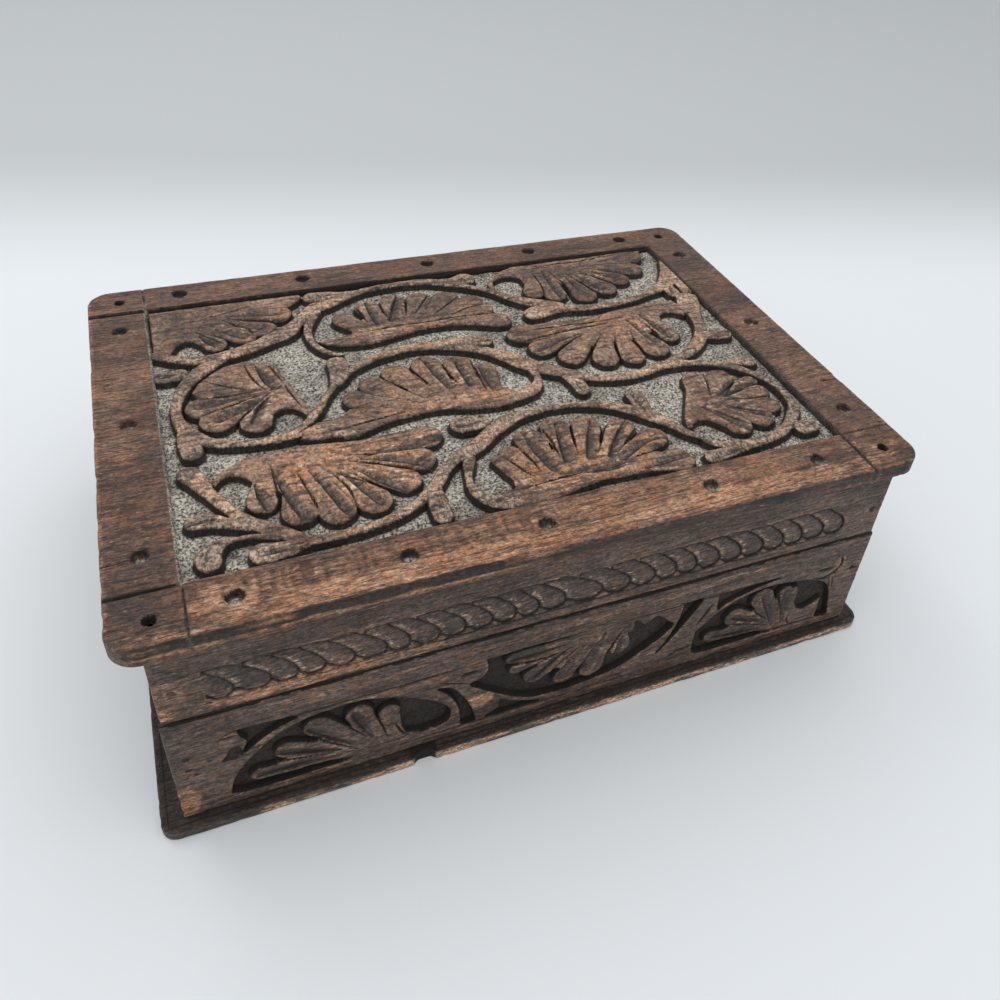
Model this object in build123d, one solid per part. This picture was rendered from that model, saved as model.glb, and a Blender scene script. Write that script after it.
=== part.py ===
from build123d import *
import math
import os

# Hinged wooden keepsake box with a carved lid, in millimetres.
# +X runs along the length, +Y to the hinged back, +Z up.
# The origin is on the surface that the box stands on, under its middle.

# ---- Lid panel ----
panel_length = 250.0
panel_depth = 176.0
panel_thickness = 6.0
panel_corner_radius = 8.0
panel_top_round = 1.6
panel_bottom_round = 1.2

# ---- Carved field of the lid panel, measured in from the panel's edges ----
field_left_border = 19.5
field_right_border = 20.5
field_front_border = 19.0
field_back_border = 17.0
field_sunk = 3.0
relief_sunk = 0.4
border_groove_width = 1.4
border_groove_sunk = 1.0
knife_cut_width = 1.3
knife_cut_sunk = 0.9
stem_tip_share = 0.8
smallest_ground = 4.0

# ---- Round pits in the border ----
pit_radius = 3.0
pit_sunk = 2.0
pit_end_inset = 31.25
pit_back_inset = 7.5
pit_front_inset = 10.5
pit_side_inset = 10.2
back_pit_wander = (1.0, 0.5, 5.0, 3.5, 1.0)
front_pit_wander = (0.5, -0.5, -6.5, 1.5, -5.0)
left_pit_wander = (2.0, 3.0, 1.0)
right_pit_wander = (4.0, 2.5, 0.0)

# ---- Frame of rails under the panel ----
rail_height = 28.8
wall_thickness = 9.0
side_overhang = 7.5
front_overhang = 3.0
back_overhang = 3.0
rail_arris_round = 2.0

# ---- Box walls, base and the seam between box and lid ----
wall_height = 43.8
seam_gap = 0.4
wall_proud_side = 0.5
wall_proud_front = 0.5
base_thickness = 4.0
base_lip_side = 6.5
base_lip_front = 3.5
base_lip_back = 4.0
base_corner_radius = 5.0
base_top_round = 1.4

# ---- Scale moulding along the lid's front rail ----
scale_pitch = 8.4
scale_radius = 7.0
scale_rise = 0.6
scale_tilt = 7.0
scale_band_above_seam = 12.0
scale_band_left_margin = 13.5
scale_band_right_margin = 12.0
scale_band_sunk = 1.1

# ---- Sunk panel in the box's front wall ----
front_panel_sunk = 2.5
front_relief_sunk = 0.3
front_panel_left_margin = 18.0
front_panel_right_margin = 12.0
front_panel_bottom_margin = 5.5
front_panel_top_margin = 10.3
front_panel_corner_radius = 3.0

# ---- Butt hinges ----
hinge_end_inset = 43.0
hinge_length = 25.0
knuckle_count = 5
knuckle_radius = 1.6
knuckle_gap = 0.3
hinge_pin_radius = 0.75
hinge_pin_clearance = 0.05
pin_head_radius = 1.15
pin_head_height = 0.4
pin_set_back = 0.25
leaf_width = 7.0
leaf_thickness = 0.9
mortise_clearance = 0.1

# ---- Countersunk screws in the hinge leaves ----
screw_spacing = 15.0
screw_row_inset = 3.6
screw_head_radius = 1.9
screw_head_height = 0.9
screw_shank_radius = 0.9
screw_length = 9.0
screw_point_length = 2.0
screw_clearance = 0.05

# ---- Nails ----
nail_head_width = 2.0
nail_head_height = 0.7
nail_shank_width = 1.3
nail_tip_width = 0.3
nail_point_length = 1.5
nail_clearance = 0.05
nail_bore_radius = 1.5
panel_nail_side_inset = 11.0
panel_nail_end_inset = 9.0
panel_nail_length = 18.0
panel_nail_sunk = 1.8
corner_nail_length = 20.0
corner_nail_sunk = 1.0
lid_corner_nail_above_seam = 12.0
box_corner_nail_below_rim = 16.0
base_nail_length = 16.0
base_nail_sunk = 0.5
base_nail_end_inset = 30.0
base_nail_count_long = 4
base_nail_count_deep = 2

# How near two coordinates are when they count as the same, and how far a cut runs on past a face.
TOUCH = 0.001
cut_past = 1.0

# ---- Carving on the lid, from the middle of the lid ----
# Each stem is (x, y, half width) along its middle line.
lid_stems = {
    "back_stem": [
        (-104, 40, 2.4), (-102, 38.8, 2.4), (-98.5, 36.4, 2.4), (-94, 34.1, 2.4), (-88, 33.5, 2.7),
        (-82, 34.2, 2.9), (-76, 35.8, 3.1), (-70, 38.2, 3.3), (-64.5, 41, 3.6), (-59.2, 43.6, 4),
        (-55, 48.4, 2.9), (-50.6, 53.4, 2.7), (-46, 57.6, 3.6), (-40.5, 59.6, 3), (-35, 61.9, 2.2),
        (-28, 65, 2), (-20, 66.6, 1.9), (-10, 67.3, 2), (0, 66.2, 2.4), (8, 63.2, 2.6), (14, 59.4, 2),
        (19, 55.6, 1.5), (24, 51.6, 2), (29, 45.6, 2.6), (34, 41.2, 3.2), (40, 38, 3), (46, 35, 2.4),
    ],
    "long_vine": [
        (-84, 32.6, 3), (-88.3, 29, 3.2), (-93.4, 24, 3), (-97.4, 17.5, 2.5), (-100, 9.5, 2.1),
        (-100.4, 2.5, 2.1), (-98.7, -4, 2.7), (-95, -10, 2.8), (-90.5, -13.6, 2.3), (-85, -15.5, 2),
        (-78, -16.4, 2), (-71, -16.7, 2.2), (-65, -15.2, 2.2), (-61.3, -10.6, 1.9), (-58.2, -6.7, 1.8),
        (-55.3, -2.1, 1.5), (-52.4, 2.7, 1.5), (-48.3, 8.2, 1.8), (-45, 11.3, 1.7), (-41, 14.5, 1.8),
        (-35.8, 17.5, 2.1), (-30, 19.7, 2.4), (-20, 21.5, 2.5), (-11, 20.8, 2.7), (-3, 17.6, 2.4),
        (3, 14.6, 2.4), (8, 11.2, 2.9), (13.4, 5.6, 3.6), (17.5, 0.2, 3.8), (23, -4.4, 3.4),
        (29, -8.6, 2.9), (35, -13, 2.3), (42, -15.7, 2.3), (50, -16.9, 2.5), (57, -16.5, 2.2),
        (64, -15.2, 2.1), (72, -15.2, 2.2), (79, -16.6, 2.1), (85.5, -19.2, 2), (91, -23, 1.9),
        (95.6, -28.4, 1.8), (98.6, -35, 1.6), (99.7, -42, 1.7), (98.8, -49.5, 2.3), (95.2, -54.2, 2.6),
        (90, -58.9, 2.4), (83.5, -62.1, 2.3), (76, -63.4, 2.3), (69, -63.4, 2.5), (63.5, -61.8, 2),
        (60, -59.4, 1.6), (57.8, -57.2, 1),
    ],
    "back_shell_curl": [
        (-46.2, 54.2, 1.8), (-49.6, 48.4, 2), (-51.8, 42.5, 1.9), (-52, 37, 1.7), (-51, 32, 1.6),
        (-48.8, 28, 1.5), (-46, 25, 1.3), (-43.5, 23.6, 1),
    ],
    "right_back_stem": [
        (33, 31.8, 4), (36, 32.6, 4.6), (42, 33.4, 3.9), (48, 32.4, 2.7), (54, 30.8, 2.3),
        (60, 30.2, 2.2), (67, 30.2, 2.1), (74, 31.2, 2.1), (80, 32.6, 1.8), (86, 34.6, 2),
        (91, 36.6, 2.8), (96.4, 40, 3.8), (100.6, 45, 4.2), (104, 50.4, 4.4), (107, 57, 4.4),
    ],
    "right_ring": [
        (68, -14, 1.8), (74, -12, 2), (79.5, -9.6, 2.5), (84.5, -6.2, 2.9), (88.8, -2, 3), (92, 3, 2.8),
        (94.2, 8.6, 2.7), (95.6, 14, 3.2), (96.8, 20, 4.8), (99, 26, 5),
    ],
    "left_front_stem": [
        (-98.5, -28, 3.6), (-97, -31.6, 3), (-95.6, -35, 2.4), (-92.9, -40.4, 2.2), (-89.6, -46, 2.2),
        (-86.4, -50.8, 2.4), (-82.6, -54.2, 2.7), (-78.6, -57.6, 2.6), (-74.5, -61, 2.4),
    ],
    "front_vine": [
        (-84.2, -64.4, 4.2), (-78.5, -64.6, 3.4), (-72, -63.6, 2.2), (-64, -63.8, 1.8),
        (-56, -63.4, 1.8), (-48, -61.8, 1.9), (-42, -59.4, 1.9), (-36.6, -56, 2.2), (-32, -52, 2.5),
        (-27.6, -46.6, 2.3), (-23.2, -42.6, 2.2), (-18.4, -40.4, 2.8), (-13.4, -37.6, 3.2),
        (-8, -33.4, 3.1), (-3, -30, 3.3), (2.4, -27.7, 2.8), (9, -26.8, 1.9), (16, -26.4, 1.6),
        (24, -27.1, 1.6), (31, -29, 1.9), (37, -31.9, 2.2), (43, -36, 3), (48, -41.6, 3),
        (51.6, -46.9, 2.2), (54.4, -51.8, 1.8), (57, -55.4, 1.2),
    ],
    "front_shell_curl": [
        (-18.6, -43.4, 2.2), (-20.2, -47.5, 2), (-21.7, -52, 1.5), (-22.2, -56.6, 1.8),
        (-20.6, -61, 2.4), (-17, -64, 3.4), (-12, -65.2, 3.8),
    ],
    "middle_shell_curl": [
        (18.6, -3.6, 2), (18.4, -8.4, 1.7), (17, -12.4, 2.2), (13, -15.4, 2.9), (7, -16.8, 3.3),
    ],
    # Buds beside the vines, with blunt ends.
    "bud_1": [(-103, 26.5, 3.4), (-97.5, 26.5, 3.4)],
    "bud_2": [(-33, 64.6, 2.2), (-39, 65.4, 3.2), (-45.6, 65.6, 3.8)],
    "bud_3": [(11, 63.6, 3.4), (16, 64.6, 4.6)],
    "bud_4": [(-48.6, 8, 2.6), (-46.6, 13, 3.8), (-46.2, 19.4, 3.9)],
    "bud_5": [(-8, 21.2, 2.4), (0, 20.4, 3), (8.4, 18.6, 3.4)],
    "bud_6": [(-98.8, -7, 3), (-98.3, -12, 3.6), (-97.8, -16.4, 3.6)],
    "bud_7": [(28, -8, 2.4), (30.4, -14, 3), (31, -19.8, 3)],
    "bud_8": [(91.6, -0.6, 2.4), (96, -1.2, 3.6), (99.4, -1.4, 3.8)],
    "bud_9": [(90, -20, 1.8), (95, -20.2, 2.8), (98.6, -21, 3.4)],
    "bud_10": [(46, -39, 2.6), (46.8, -33.6, 3.4), (47, -28.2, 3.6)],
    "bud_11": [(-8, -27.6, 2.6), (-12, -27, 3.8), (-15.6, -26.6, 4.2)],
    "bud_12": [(-98.4, -28.8, 3.4), (-99.6, -26, 3.8)],
    "bud_13": [(-86, -53.4, 1.8), (-91, -50.4, 2.2), (-96, -47.7, 3), (-100.4, -47.2, 3.1)],
    "bud_14": [(-80, -59.2, 1.6), (-86, -57.2, 1.1), (-92, -56.9, 1.3), (-96, -58.6, 2.8), (-98.2, -61.8, 3.8), (-98.2, -63.4, 3.8)],
    "bud_15": [(-33, -54, 2.6), (-33.8, -60, 3.2), (-33.9, -65.4, 3.2)],
    "bud_16": [(70, -64.2, 2.2), (63, -65, 2.6), (56.6, -65.6, 3.4)],
    "bud_17": [(98, 42, 2.6), (96, 37, 3), (95.6, 32, 3.2)],
    "bud_18": [(103, 42, 3), (103, 36, 3.4), (102.8, 33, 3.4)],
    "bud_19": [(94.6, -61.2, 3.6), (97.4, -61.2, 3.6)],
    "bud_20": [(-56, -19.4, 1.6), (-50.6, -20.6, 2.2)],
}

# Each leaf is the outline of its blade, its lobes as (x, y, half width) at root and tip,
# and the knife cuts between the lobes from end to end.
lid_leaves = {
    "back_left_leaf": {
        "blade": [
            (-104.6, 69.4), (-104.6, 39), (-99.6, 37.5), (-98.8, 41), (-97, 45), (-94, 47),
            (-91.3, 46.1), (-89.4, 43.4), (-85, 48), (-78, 53), (-68, 56), (-58, 60), (-55.6, 61),
            (-52.6, 63.4), (-49.6, 66.8), (-50, 69.4),
        ],
        "lobes": [
            ((-84, 60, 5), (-60.4, 57.4, 5.3)), ((-84, 56, 3), (-66.6, 48.6, 4.6)),
            ((-86, 54, 2.5), (-74, 44.8, 4.3)), ((-90, 50.4, 2), (-84.2, 42.2, 3.9)),
        ],
        "cuts": [
            ((-94, 58.4), (-69, 64.8)), ((-78, 57.4), (-61.5, 52.4)), ((-80, 57), (-70.4, 44)),
            ((-90, 51.6), (-81, 41.2)),
        ],
    },
    "back_shell": {
        "blade": [
            (-50, 34.2), (-47, 31.6), (-43, 29.7), (-38, 28.7), (-33, 28.2), (-28, 28.8), (-23, 30),
            (-18, 31.3), (-13, 32.3), (-8, 32.9), (-3, 32.9), (2, 32.2), (7, 31), (12, 29.3), (17, 27.3),
            (20.6, 26.5), (22.6, 28.4), (23.5, 31.4), (21.6, 35.4), (12, 39), (0, 44), (-10, 47),
            (-20, 48), (-30, 46), (-36, 40), (-37, 36.6), (-43, 34.8),
        ],
        "lobes": [
            ((-33, 37, 2), (-37.6, 46.6, 4.3)), ((-24, 38, 2), (-27.2, 53.2, 4.7)),
            ((-19, 38, 2), (-16.7, 54.2, 5.3)), ((-14, 38, 2), (-6.2, 54, 4.9)),
            ((-8, 38, 2), (4, 52, 5.2)), ((-3, 38, 2), (12.8, 47.4, 4.6)),
            ((0, 37, 2), (15.2, 40.2, 4.2)), ((4, 34.6, 2.4), (18.4, 31.6, 4.9)),
        ],
        "cuts": [
            ((-31.6, 55), (-29.6, 42)), ((-22.2, 56), (-21, 42)), ((-11, 56.4), (-14.5, 43)),
            ((-1.6, 56.4), (-11, 43)), ((9.6, 52), (-4, 41)), ((18, 44), (2, 38.6)),
            ((20, 36), (-34, 36)),
        ],
    },
    "back_right_leaf": {
        "blade": [
            (23.4, 54), (23.6, 58), (27.4, 62.6), (31.6, 66.6), (38, 69.4), (99, 69.4), (97.4, 64),
            (90, 60), (80, 57), (70, 54), (60, 50), (50, 51), (43, 49), (38.6, 56), (38.2, 59),
            (36.6, 61.2), (33.5, 62.3), (30, 61.8), (27, 60.2), (25.8, 57.4), (25.6, 53.4), (27.4, 49),
            (24.6, 49.4),
        ],
        "lobes": [
            ((46, 62, 3), (39.8, 47.6, 4.2)), ((51, 60, 2), (47.8, 43.6, 4.6)),
            ((57, 58, 2), (59.2, 40.2, 5)), ((62, 58, 2), (69.6, 43.4, 5)),
            ((67, 60, 2), (78.8, 48.8, 4.6)), ((72, 62, 2), (88, 55.2, 4.9)),
            ((78, 66, 3), (92.4, 65.2, 4.8)),
        ],
        "cuts": [
            ((44.4, 62), (43.4, 45)), ((52, 61), (54.4, 42)), ((58, 59), (64, 41)),
            ((64, 58), (74.4, 44.4)), ((68, 60), (84, 51)), ((72, 61.4), (92, 58.6)),
            ((48, 66.6), (90, 68.8)),
        ],
    },
    "left_leaf": {
        "blade": [
            (-95, 14.4), (-92.4, 19.6), (-88, 24.2), (-83, 27.6), (-77, 28.4), (-70, 27), (-67, 22.6),
            (-64.2, 12), (-61.4, 1), (-59.2, -5), (-60, -8.6), (-61.6, -8.4), (-62.6, -5), (-65, -2.2),
            (-68, -1.4), (-71, -3), (-74, -3), (-84, 2), (-92, 9),
        ],
        "lobes": [
            ((-74, 9, 2), (-92.6, 6, 5.2)), ((-73, 7.6, 1.6), (-88.6, -2, 5.6)),
            ((-71, 6.4, 1.6), (-77.4, -6.2, 5)),
        ],
        "cuts": [
            ((-95, 10.6), (-73.4, 9.6)), ((-93, 1.4), (-72, 8.4)), ((-83.6, -5.6), (-71, 7.6)),
            ((-76.4, 26.6), (-73, 9.8)),
        ],
    },
    "middle_shell": {
        "blade": [
            (-66, -18.8), (-60, -20.8), (-54, -21), (-52, -23.2), (-48, -22.5), (-44, -20.5), (-40, -19),
            (-35, -18), (-30, -17.3), (-25, -16.7), (-20, -16.8), (-15, -17.5), (-10, -19), (-5, -20),
            (0, -20.4), (5, -20), (10, -18.8), (12, -14), (8, -13.8), (4.6, -10), (5, -4), (-6, -1),
            (-18, -1), (-30, -4), (-42, -9), (-48, -8), (-52, -12), (-60, -12),
        ],
        "lobes": [
            ((-30, -10, 2), (-44.4, -3.4, 4.6)), ((-25, -10, 2), (-37.4, 3, 4.8)),
            ((-19, -10, 2), (-28.2, 8, 5)), ((-13, -11, 2), (-16.8, 9.4, 5.4)),
            ((-5.5, -11, 2), (-5.8, 7, 5.2)), ((1.4, -12, 2.4), (2.6, 1.6, 3.8)),
        ],
        "cuts": [
            ((-42.4, 1), (-31, -7.6)), ((-34.4, 6.4), (-23, -9)), ((-23.2, 9.6), (-18.6, -4)),
            ((-11.2, 12), (-8.8, -7)), ((-0.8, 8), (-1.2, -12)), ((-54, -18.2), (-30, -14.8)),
            ((-66.4, -16.6), (-57.2, -8)),
        ],
    },
    "right_leaf": {
        "blade": [
            (17.6, 19.6), (19, 22.2), (22.6, 26), (30, 24.4), (45, 23.6), (58, 23.8), (66, 25.8),
            (80, 27), (92, 27), (94, 18), (91.4, 14.8), (88, 18.2), (84, 18.8), (81.2, 17), (80.4, 14),
            (74, 8), (60, 4), (48, 4), (38, 8), (28, 13), (20, 14.8),
        ],
        "lobes": [
            ((45, 19.6, 4), (22.4, 19, 4.7)), ((46, 14, 2), (27.2, 8.8, 4.7)),
            ((50, 13, 2), (36, 0.8, 5.1)), ((55, 13, 2), (47.6, -4, 5)), ((60, 13, 2), (58, -5.6, 4.6)),
            ((66, 14, 2), (69, -2.8, 5.3)), ((75, 18, 2.6), (78.2, 4.4, 4.7)),
        ],
        "cuts": [
            ((22, 14), (62, 17)), ((31, 4.4), (46, 12.4)), ((41.6, -3.6), (52, 10)),
            ((52.8, -5), (57.6, 9)), ((62.4, -6.4), (64.2, 9)), ((74, 0), (71.6, 17)),
            ((20, 20.6), (66, 19.4)),
        ],
    },
    "front_left_leaf": {
        "blade": [
            (-93.6, -31), (-91, -27.6), (-86, -24.5), (-80, -22.7), (-73, -22.2), (-66, -22), (-60, -23),
            (-52, -24.3), (-45, -25), (-38, -24.3), (-32, -23.9), (-30, -30), (-40, -34), (-50, -38),
            (-60, -42), (-72, -42), (-79, -40), (-82, -35.4), (-84, -32.6), (-86.4, -30.6),
            (-88.6, -29.8), (-91.4, -30.8), (-93.4, -33.6),
        ],
        "lobes": [
            ((-55, -28, 3), (-28, -28.8, 5)), ((-57, -31, 1.6), (-33, -38.6, 4.9)),
            ((-59, -33, 1.6), (-40, -46.8, 4.9)), ((-62, -33, 1.6), (-50.8, -52.8, 5.2)),
            ((-66, -32, 1.6), (-61.8, -53.7, 5.3)), ((-71, -31, 1.8), (-72, -51, 5.2)),
            ((-78.6, -30, 2.2), (-81.4, -43.8, 4.4)),
        ],
        "cuts": [
            ((-55, -31), (-29.6, -33.8)), ((-54, -34), (-36, -43)), ((-59.4, -38), (-45.4, -49)),
            ((-60, -38), (-56, -54)), ((-70, -34), (-66.8, -52)), ((-76.6, -29), (-77, -47.6)),
        ],
    },
    "front_shell": {
        "blade": [
            (-19, -65.4), (-15, -68), (-10, -68.8), (-3, -68.8), (2, -68.6), (6, -67.3), (10, -66),
            (15, -65.3), (20, -65), (25, -65.2), (30, -65.5), (35, -65.7), (39, -66.7), (43, -68),
            (44, -60), (38, -56), (30, -50), (22, -47), (12, -46), (2, -48), (-4, -52), (-9, -56),
            (-9.6, -60.4), (-13, -61.4), (-16, -61.2),
        ],
        "lobes": [
            ((-5, -61, 2.4), (-9.6, -47, 2.8)), ((-1.4, -60, 1.6), (-5.2, -45.3, 4)),
            ((4.6, -58, 2), (3, -40, 5.2)), ((11.5, -58, 2), (13.2, -36.8, 5)),
            ((16, -58, 2), (23.6, -38.8, 4.9)), ((20, -58, 2), (34.3, -43.3, 4.8)),
            ((24, -59, 2), (42.5, -50.8, 4.8)), ((26, -60.6, 2.4), (45.4, -63.4, 5.1)),
        ],
        "cuts": [
            ((-9.4, -44), (-2, -59)), ((-3, -41), (0.6, -57)), ((8.5, -35.4), (8.8, -52)),
            ((18.4, -37), (15, -52)), ((29, -39.6), (21.4, -53)), ((40, -44), (27, -55)),
            ((47, -55.4), (28, -59)), ((-8, -62), (26, -60)),
        ],
    },
    "front_right_leaf": {
        "blade": [
            (56, -50), (57.4, -45.4), (60, -40.6), (63.5, -35), (66.6, -30), (67.4, -26), (69, -23),
            (80, -34), (86, -40), (82, -47), (74, -48), (68.6, -53), (67, -50), (64.6, -47.5),
            (61.6, -47.3), (59, -48.4), (57.6, -50.4),
        ],
        "lobes": [
            ((70.4, -38, 2), (73, -26, 4.9)), ((72, -38, 2), (82.3, -27.3, 4.9)),
            ((74, -38.6, 1.6), (91.4, -32.6, 3.2)), ((74, -39, 1.6), (91.2, -39, 4)),
            ((74, -40, 1.6), (90.4, -46.4, 4.4)), ((73, -42, 1.6), (83.8, -51.8, 4.8)),
            ((69, -43, 2), (74, -53.3, 4.6)),
        ],
        "cuts": [
            ((77.4, -23.4), (72.4, -37)), ((88, -29), (75, -37.4)), ((94, -34.6), (76, -38)),
            ((95, -43), (76, -39.6)), ((88, -50.6), (74, -42)), ((79, -55.6), (69, -43.4)),
        ],
    },
}

# ---- Carving on the box's front board, as (x, z) on its face ----
front_stems = [
    [
        (-104, 9, 1.1), (-101.5, 18, 1.1), (-97, 26, 1.1), (-91, 31.4, 1.2), (-82.5, 35, 1.2),
        (-75, 36.8, 1.3), (-66, 37, 1.4), (-58, 35.4, 1.9), (-50, 32.8, 2.2), (-43, 28.4, 2.4),
        (-38, 22.4, 2.2), (-34.6, 16, 1.8), (-32.4, 9.6, 1.5),
    ],
    [
        (-46, 34.4, 1.6), (-38, 30.2, 2), (-30, 26, 2), (-25, 21.4, 2), (-18, 16.2, 1.8),
        (-10, 11.6, 1.6), (0, 9.8, 1.5), (15, 11.8, 1.6), (25, 15.6, 1.8), (33, 20.4, 2), (38, 26.4, 2),
        (40.6, 32, 1.8), (41.6, 38, 1.8),
    ],
    [
        (36, 12, 1.2), (40.5, 16.6, 1.4), (45.6, 22.4, 1.6), (50, 28, 2), (53.4, 33, 2.8),
    ],
    [
        (56, 25, 0.9), (61, 30.4, 1.2), (68, 33.8, 1.2), (75, 35.2, 1.3), (82, 35.2, 1.3), (90, 34, 1.3),
        (97, 31, 1.2), (102.4, 26, 1.2), (105.6, 19, 1.2), (108, 10, 1.3),
    ],
    [(-40, 32.4, 2), (-35.6, 33.6, 3.2), (-30.4, 33.4, 3.4)],
    [(-29, 19, 1.4), (-26.6, 14.6, 2.6), (-25.4, 12.4, 2.8)],
    [(-99.6, 35.4, 1.6), (-98.6, 31, 2)],
    [(43, 11.4, 1.2), (48.6, 12.2, 1.6)],
]

front_leaves = [
    {
        "blade": [
            (-97, 10), (-92, 16.6), (-84, 22), (-74, 26), (-62, 25), (-53.6, 23), (-52.4, 17),
            (-48, 13.2), (-42, 14), (-38.6, 17.6), (-37, 11), (-40, 8.4), (-50, 8.2), (-70, 8.4),
            (-75, 9.8), (-85, 10.6),
        ],
        "lobes": [
            ((-66, 11, 2.4), (-95.4, 13, 3.2)), ((-64, 12, 2), (-88, 21.6, 3.7)),
            ((-62, 12.4, 2), (-78, 28.2, 4.1)), ((-60, 13, 2), (-66.6, 29.2, 4.4)),
            ((-57, 13, 2), (-56.2, 25.8, 3.9)),
        ],
        "cuts": [
            ((-92, 17.6), (-74, 13)), ((-84, 25.4), (-66, 12.6)), ((-72, 32.4), (-64.6, 16)),
            ((-61, 30), (-57.6, 15)), ((-94, 11), (-70, 11)),
        ],
    },
    {
        "blade": [
            (-12, 36.8), (-8, 29), (0, 24), (10, 24), (20, 27), (26, 33), (27, 37.6), (10, 37.6),
            (-4, 37.6),
        ],
        "lobes": [
            ((14, 35, 2.4), (-15.6, 34.6, 3)), ((14, 34, 2), (-12.6, 25, 3.4)),
            ((15, 33.4, 2), (-5.6, 19, 3.5)), ((17, 33, 2), (3.4, 18.6, 3.5)),
            ((19, 33, 2), (12.4, 19, 3.8)), ((21, 34, 2), (21.6, 24.4, 3.6)),
        ],
        "cuts": [
            ((-15, 30.4), (8, 34)), ((-10, 21), (11, 33)), ((-1, 16.6), (14, 32)), ((8, 16), (17.4, 32)),
            ((17.4, 21), (20, 33)),
        ],
    },
    {
        "blade": [
            (56, 11), (62, 16), (70, 22), (80, 26), (89, 26), (91, 21), (94, 15), (99, 13), (104.6, 16),
            (106, 10), (100, 8.4), (80, 8.4), (62, 9),
        ],
        "lobes": [
            ((82, 11, 2.4), (57.6, 14, 2.9)), ((83, 12, 2), (64.4, 21.6, 4.2)),
            ((85, 12.6, 2), (75, 27.6, 4.3)), ((86, 13, 2), (83.6, 28.6, 3.7)),
            ((88, 13, 2), (89.8, 26.8, 3)),
        ],
        "cuts": [
            ((58, 18.6), (80, 12)), ((68.6, 27), (82, 14)), ((79.8, 32), (84.4, 16)),
            ((87, 31), (87.4, 16)), ((60, 11), (84, 11)),
        ],
    },
]

# ---- Levels and faces that follow from the sizes above ----
rim_top = base_thickness + wall_height
rail_bottom = rim_top + seam_gap
rail_top = rail_bottom + rail_height
panel_top = rail_top + panel_thickness
seam_middle = rim_top + seam_gap / 2

panel_right = panel_length / 2
panel_left = -panel_right
panel_back = panel_depth / 2
panel_front = -panel_back

rail_right = panel_right - side_overhang
rail_left = -rail_right
rail_front = panel_front + front_overhang
rail_back = panel_back - back_overhang

wall_right = rail_right + wall_proud_side
wall_left = -wall_right
wall_front = rail_front - wall_proud_front
wall_back = rail_back

base_right = wall_right + base_lip_side
base_left = -base_right
base_front = wall_front - base_lip_front
base_back = wall_back + base_lip_back

field_left = panel_left + field_left_border
field_right = panel_right - field_right_border
field_front = panel_front + field_front_border
field_back = panel_back - field_back_border

# The planes that the lid and the front board are carved on.
lid_face = Plane(origin=(0, 0, panel_top), x_dir=(1, 0, 0), z_dir=(0, 0, 1))
front_face = Plane(origin=(0, wall_front, 0), x_dir=(1, 0, 0), z_dir=(0, -1, 0))

pin_y = wall_back + knuckle_radius + pin_set_back
hinge_right_x = wall_right - hinge_end_inset
hinge_places = {"hinge_left": -hinge_right_x, "hinge_right": hinge_right_x}
screw_offsets = (-screw_spacing / 2, screw_spacing / 2)
screw_y = wall_back - screw_row_inset


def block(x0, x1, y0, y1, z0, z1):
    """A plain block between two corners."""
    return Pos((x0 + x1) / 2, (y0 + y1) / 2, (z0 + z1) / 2) * Box(x1 - x0, y1 - y0, z1 - z0)


def plate(x0, x1, y0, y1, z0, z1, corner_radius):
    """A flat board with rounded corners in plan."""
    outline = Pos((x0 + x1) / 2, (y0 + y1) / 2, z0) * RectangleRounded(x1 - x0, y1 - y0, corner_radius)
    return extrude(outline, amount=z1 - z0)


def edges_near(solid, x=None, y=None, z=None):
    """The edges whose middles lie at each coordinate that is given."""
    found = solid.edges()
    for axis, value in ((Axis.X, x), (Axis.Y, y), (Axis.Z, z)):
        if value is not None:
            found = found.filter_by_position(axis, value - TOUCH, value + TOUCH)
    return found


# ---- Fasteners ----

def square_bar(width, z0, z1):
    """A square bar on the Z axis."""
    return block(-width / 2, width / 2, -width / 2, width / 2, z0, z1)


def nail_along_z(length):
    """A square cut nail whose head's top is at the origin and whose point is down -Z."""
    shank_end = -(length - nail_point_length)
    head = square_bar(nail_head_width, -nail_head_height, 0)
    shank = square_bar(nail_shank_width, shank_end, -nail_head_height)
    point = loft([
        Pos(0, 0, shank_end) * Rectangle(nail_shank_width, nail_shank_width),
        Pos(0, 0, -length) * Rectangle(nail_tip_width, nail_tip_width),
    ])
    return head + shank + point


def nail_hole_along_z(length, sunk):
    """The hole that a nail stands in: a bore for its head, then a close hole for its shank."""
    bore = Pos(0, 0, (sunk - nail_head_height) / 2) * Cylinder(nail_bore_radius, sunk + nail_head_height)
    return bore + square_bar(nail_shank_width + 2 * nail_clearance, -length, 0)


def screw_along_z():
    """A countersunk wood screw with its head's top at the origin and its point down -Z."""
    shank_end = -(screw_length - screw_point_length)
    profile = Polyline(
        (0, 0),
        (screw_head_radius, 0),
        (screw_shank_radius, -screw_head_height),
        (screw_shank_radius, shank_end),
        (0, -screw_length),
        close=True,
    )
    face = make_face(Plane.XZ * profile)
    return revolve(face, axis=Axis.Z)


def screw_hole_along_z():
    """The countersunk hole that a screw fills, a little larger all round."""
    wide = screw_head_radius + screw_clearance
    narrow = screw_shank_radius + screw_clearance
    profile = Polyline(
        (0, 0),
        (wide, 0),
        (narrow, -screw_head_height),
        (narrow, -screw_length),
        (0, -screw_length),
        close=True,
    )
    return revolve(make_face(Plane.XZ * profile), axis=Axis.Z)


# Directions that a fastener can point in, as the turn from pointing down.
POINTS_DOWN = Rot(0, 0, 0)
POINTS_UP = Rot(180, 0, 0)
POINTS_BACK = Rot(90, 0, 0)
POINTS_FORWARD = Rot(-90, 0, 0)


def panel_nail_places():
    x = panel_right - panel_nail_side_inset
    y = panel_back - panel_nail_end_inset
    z = panel_top - panel_nail_sunk
    return [Pos(sx * x, sy * y, z) * POINTS_DOWN for sx in (-1, 1) for sy in (-1, 1)]


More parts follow.
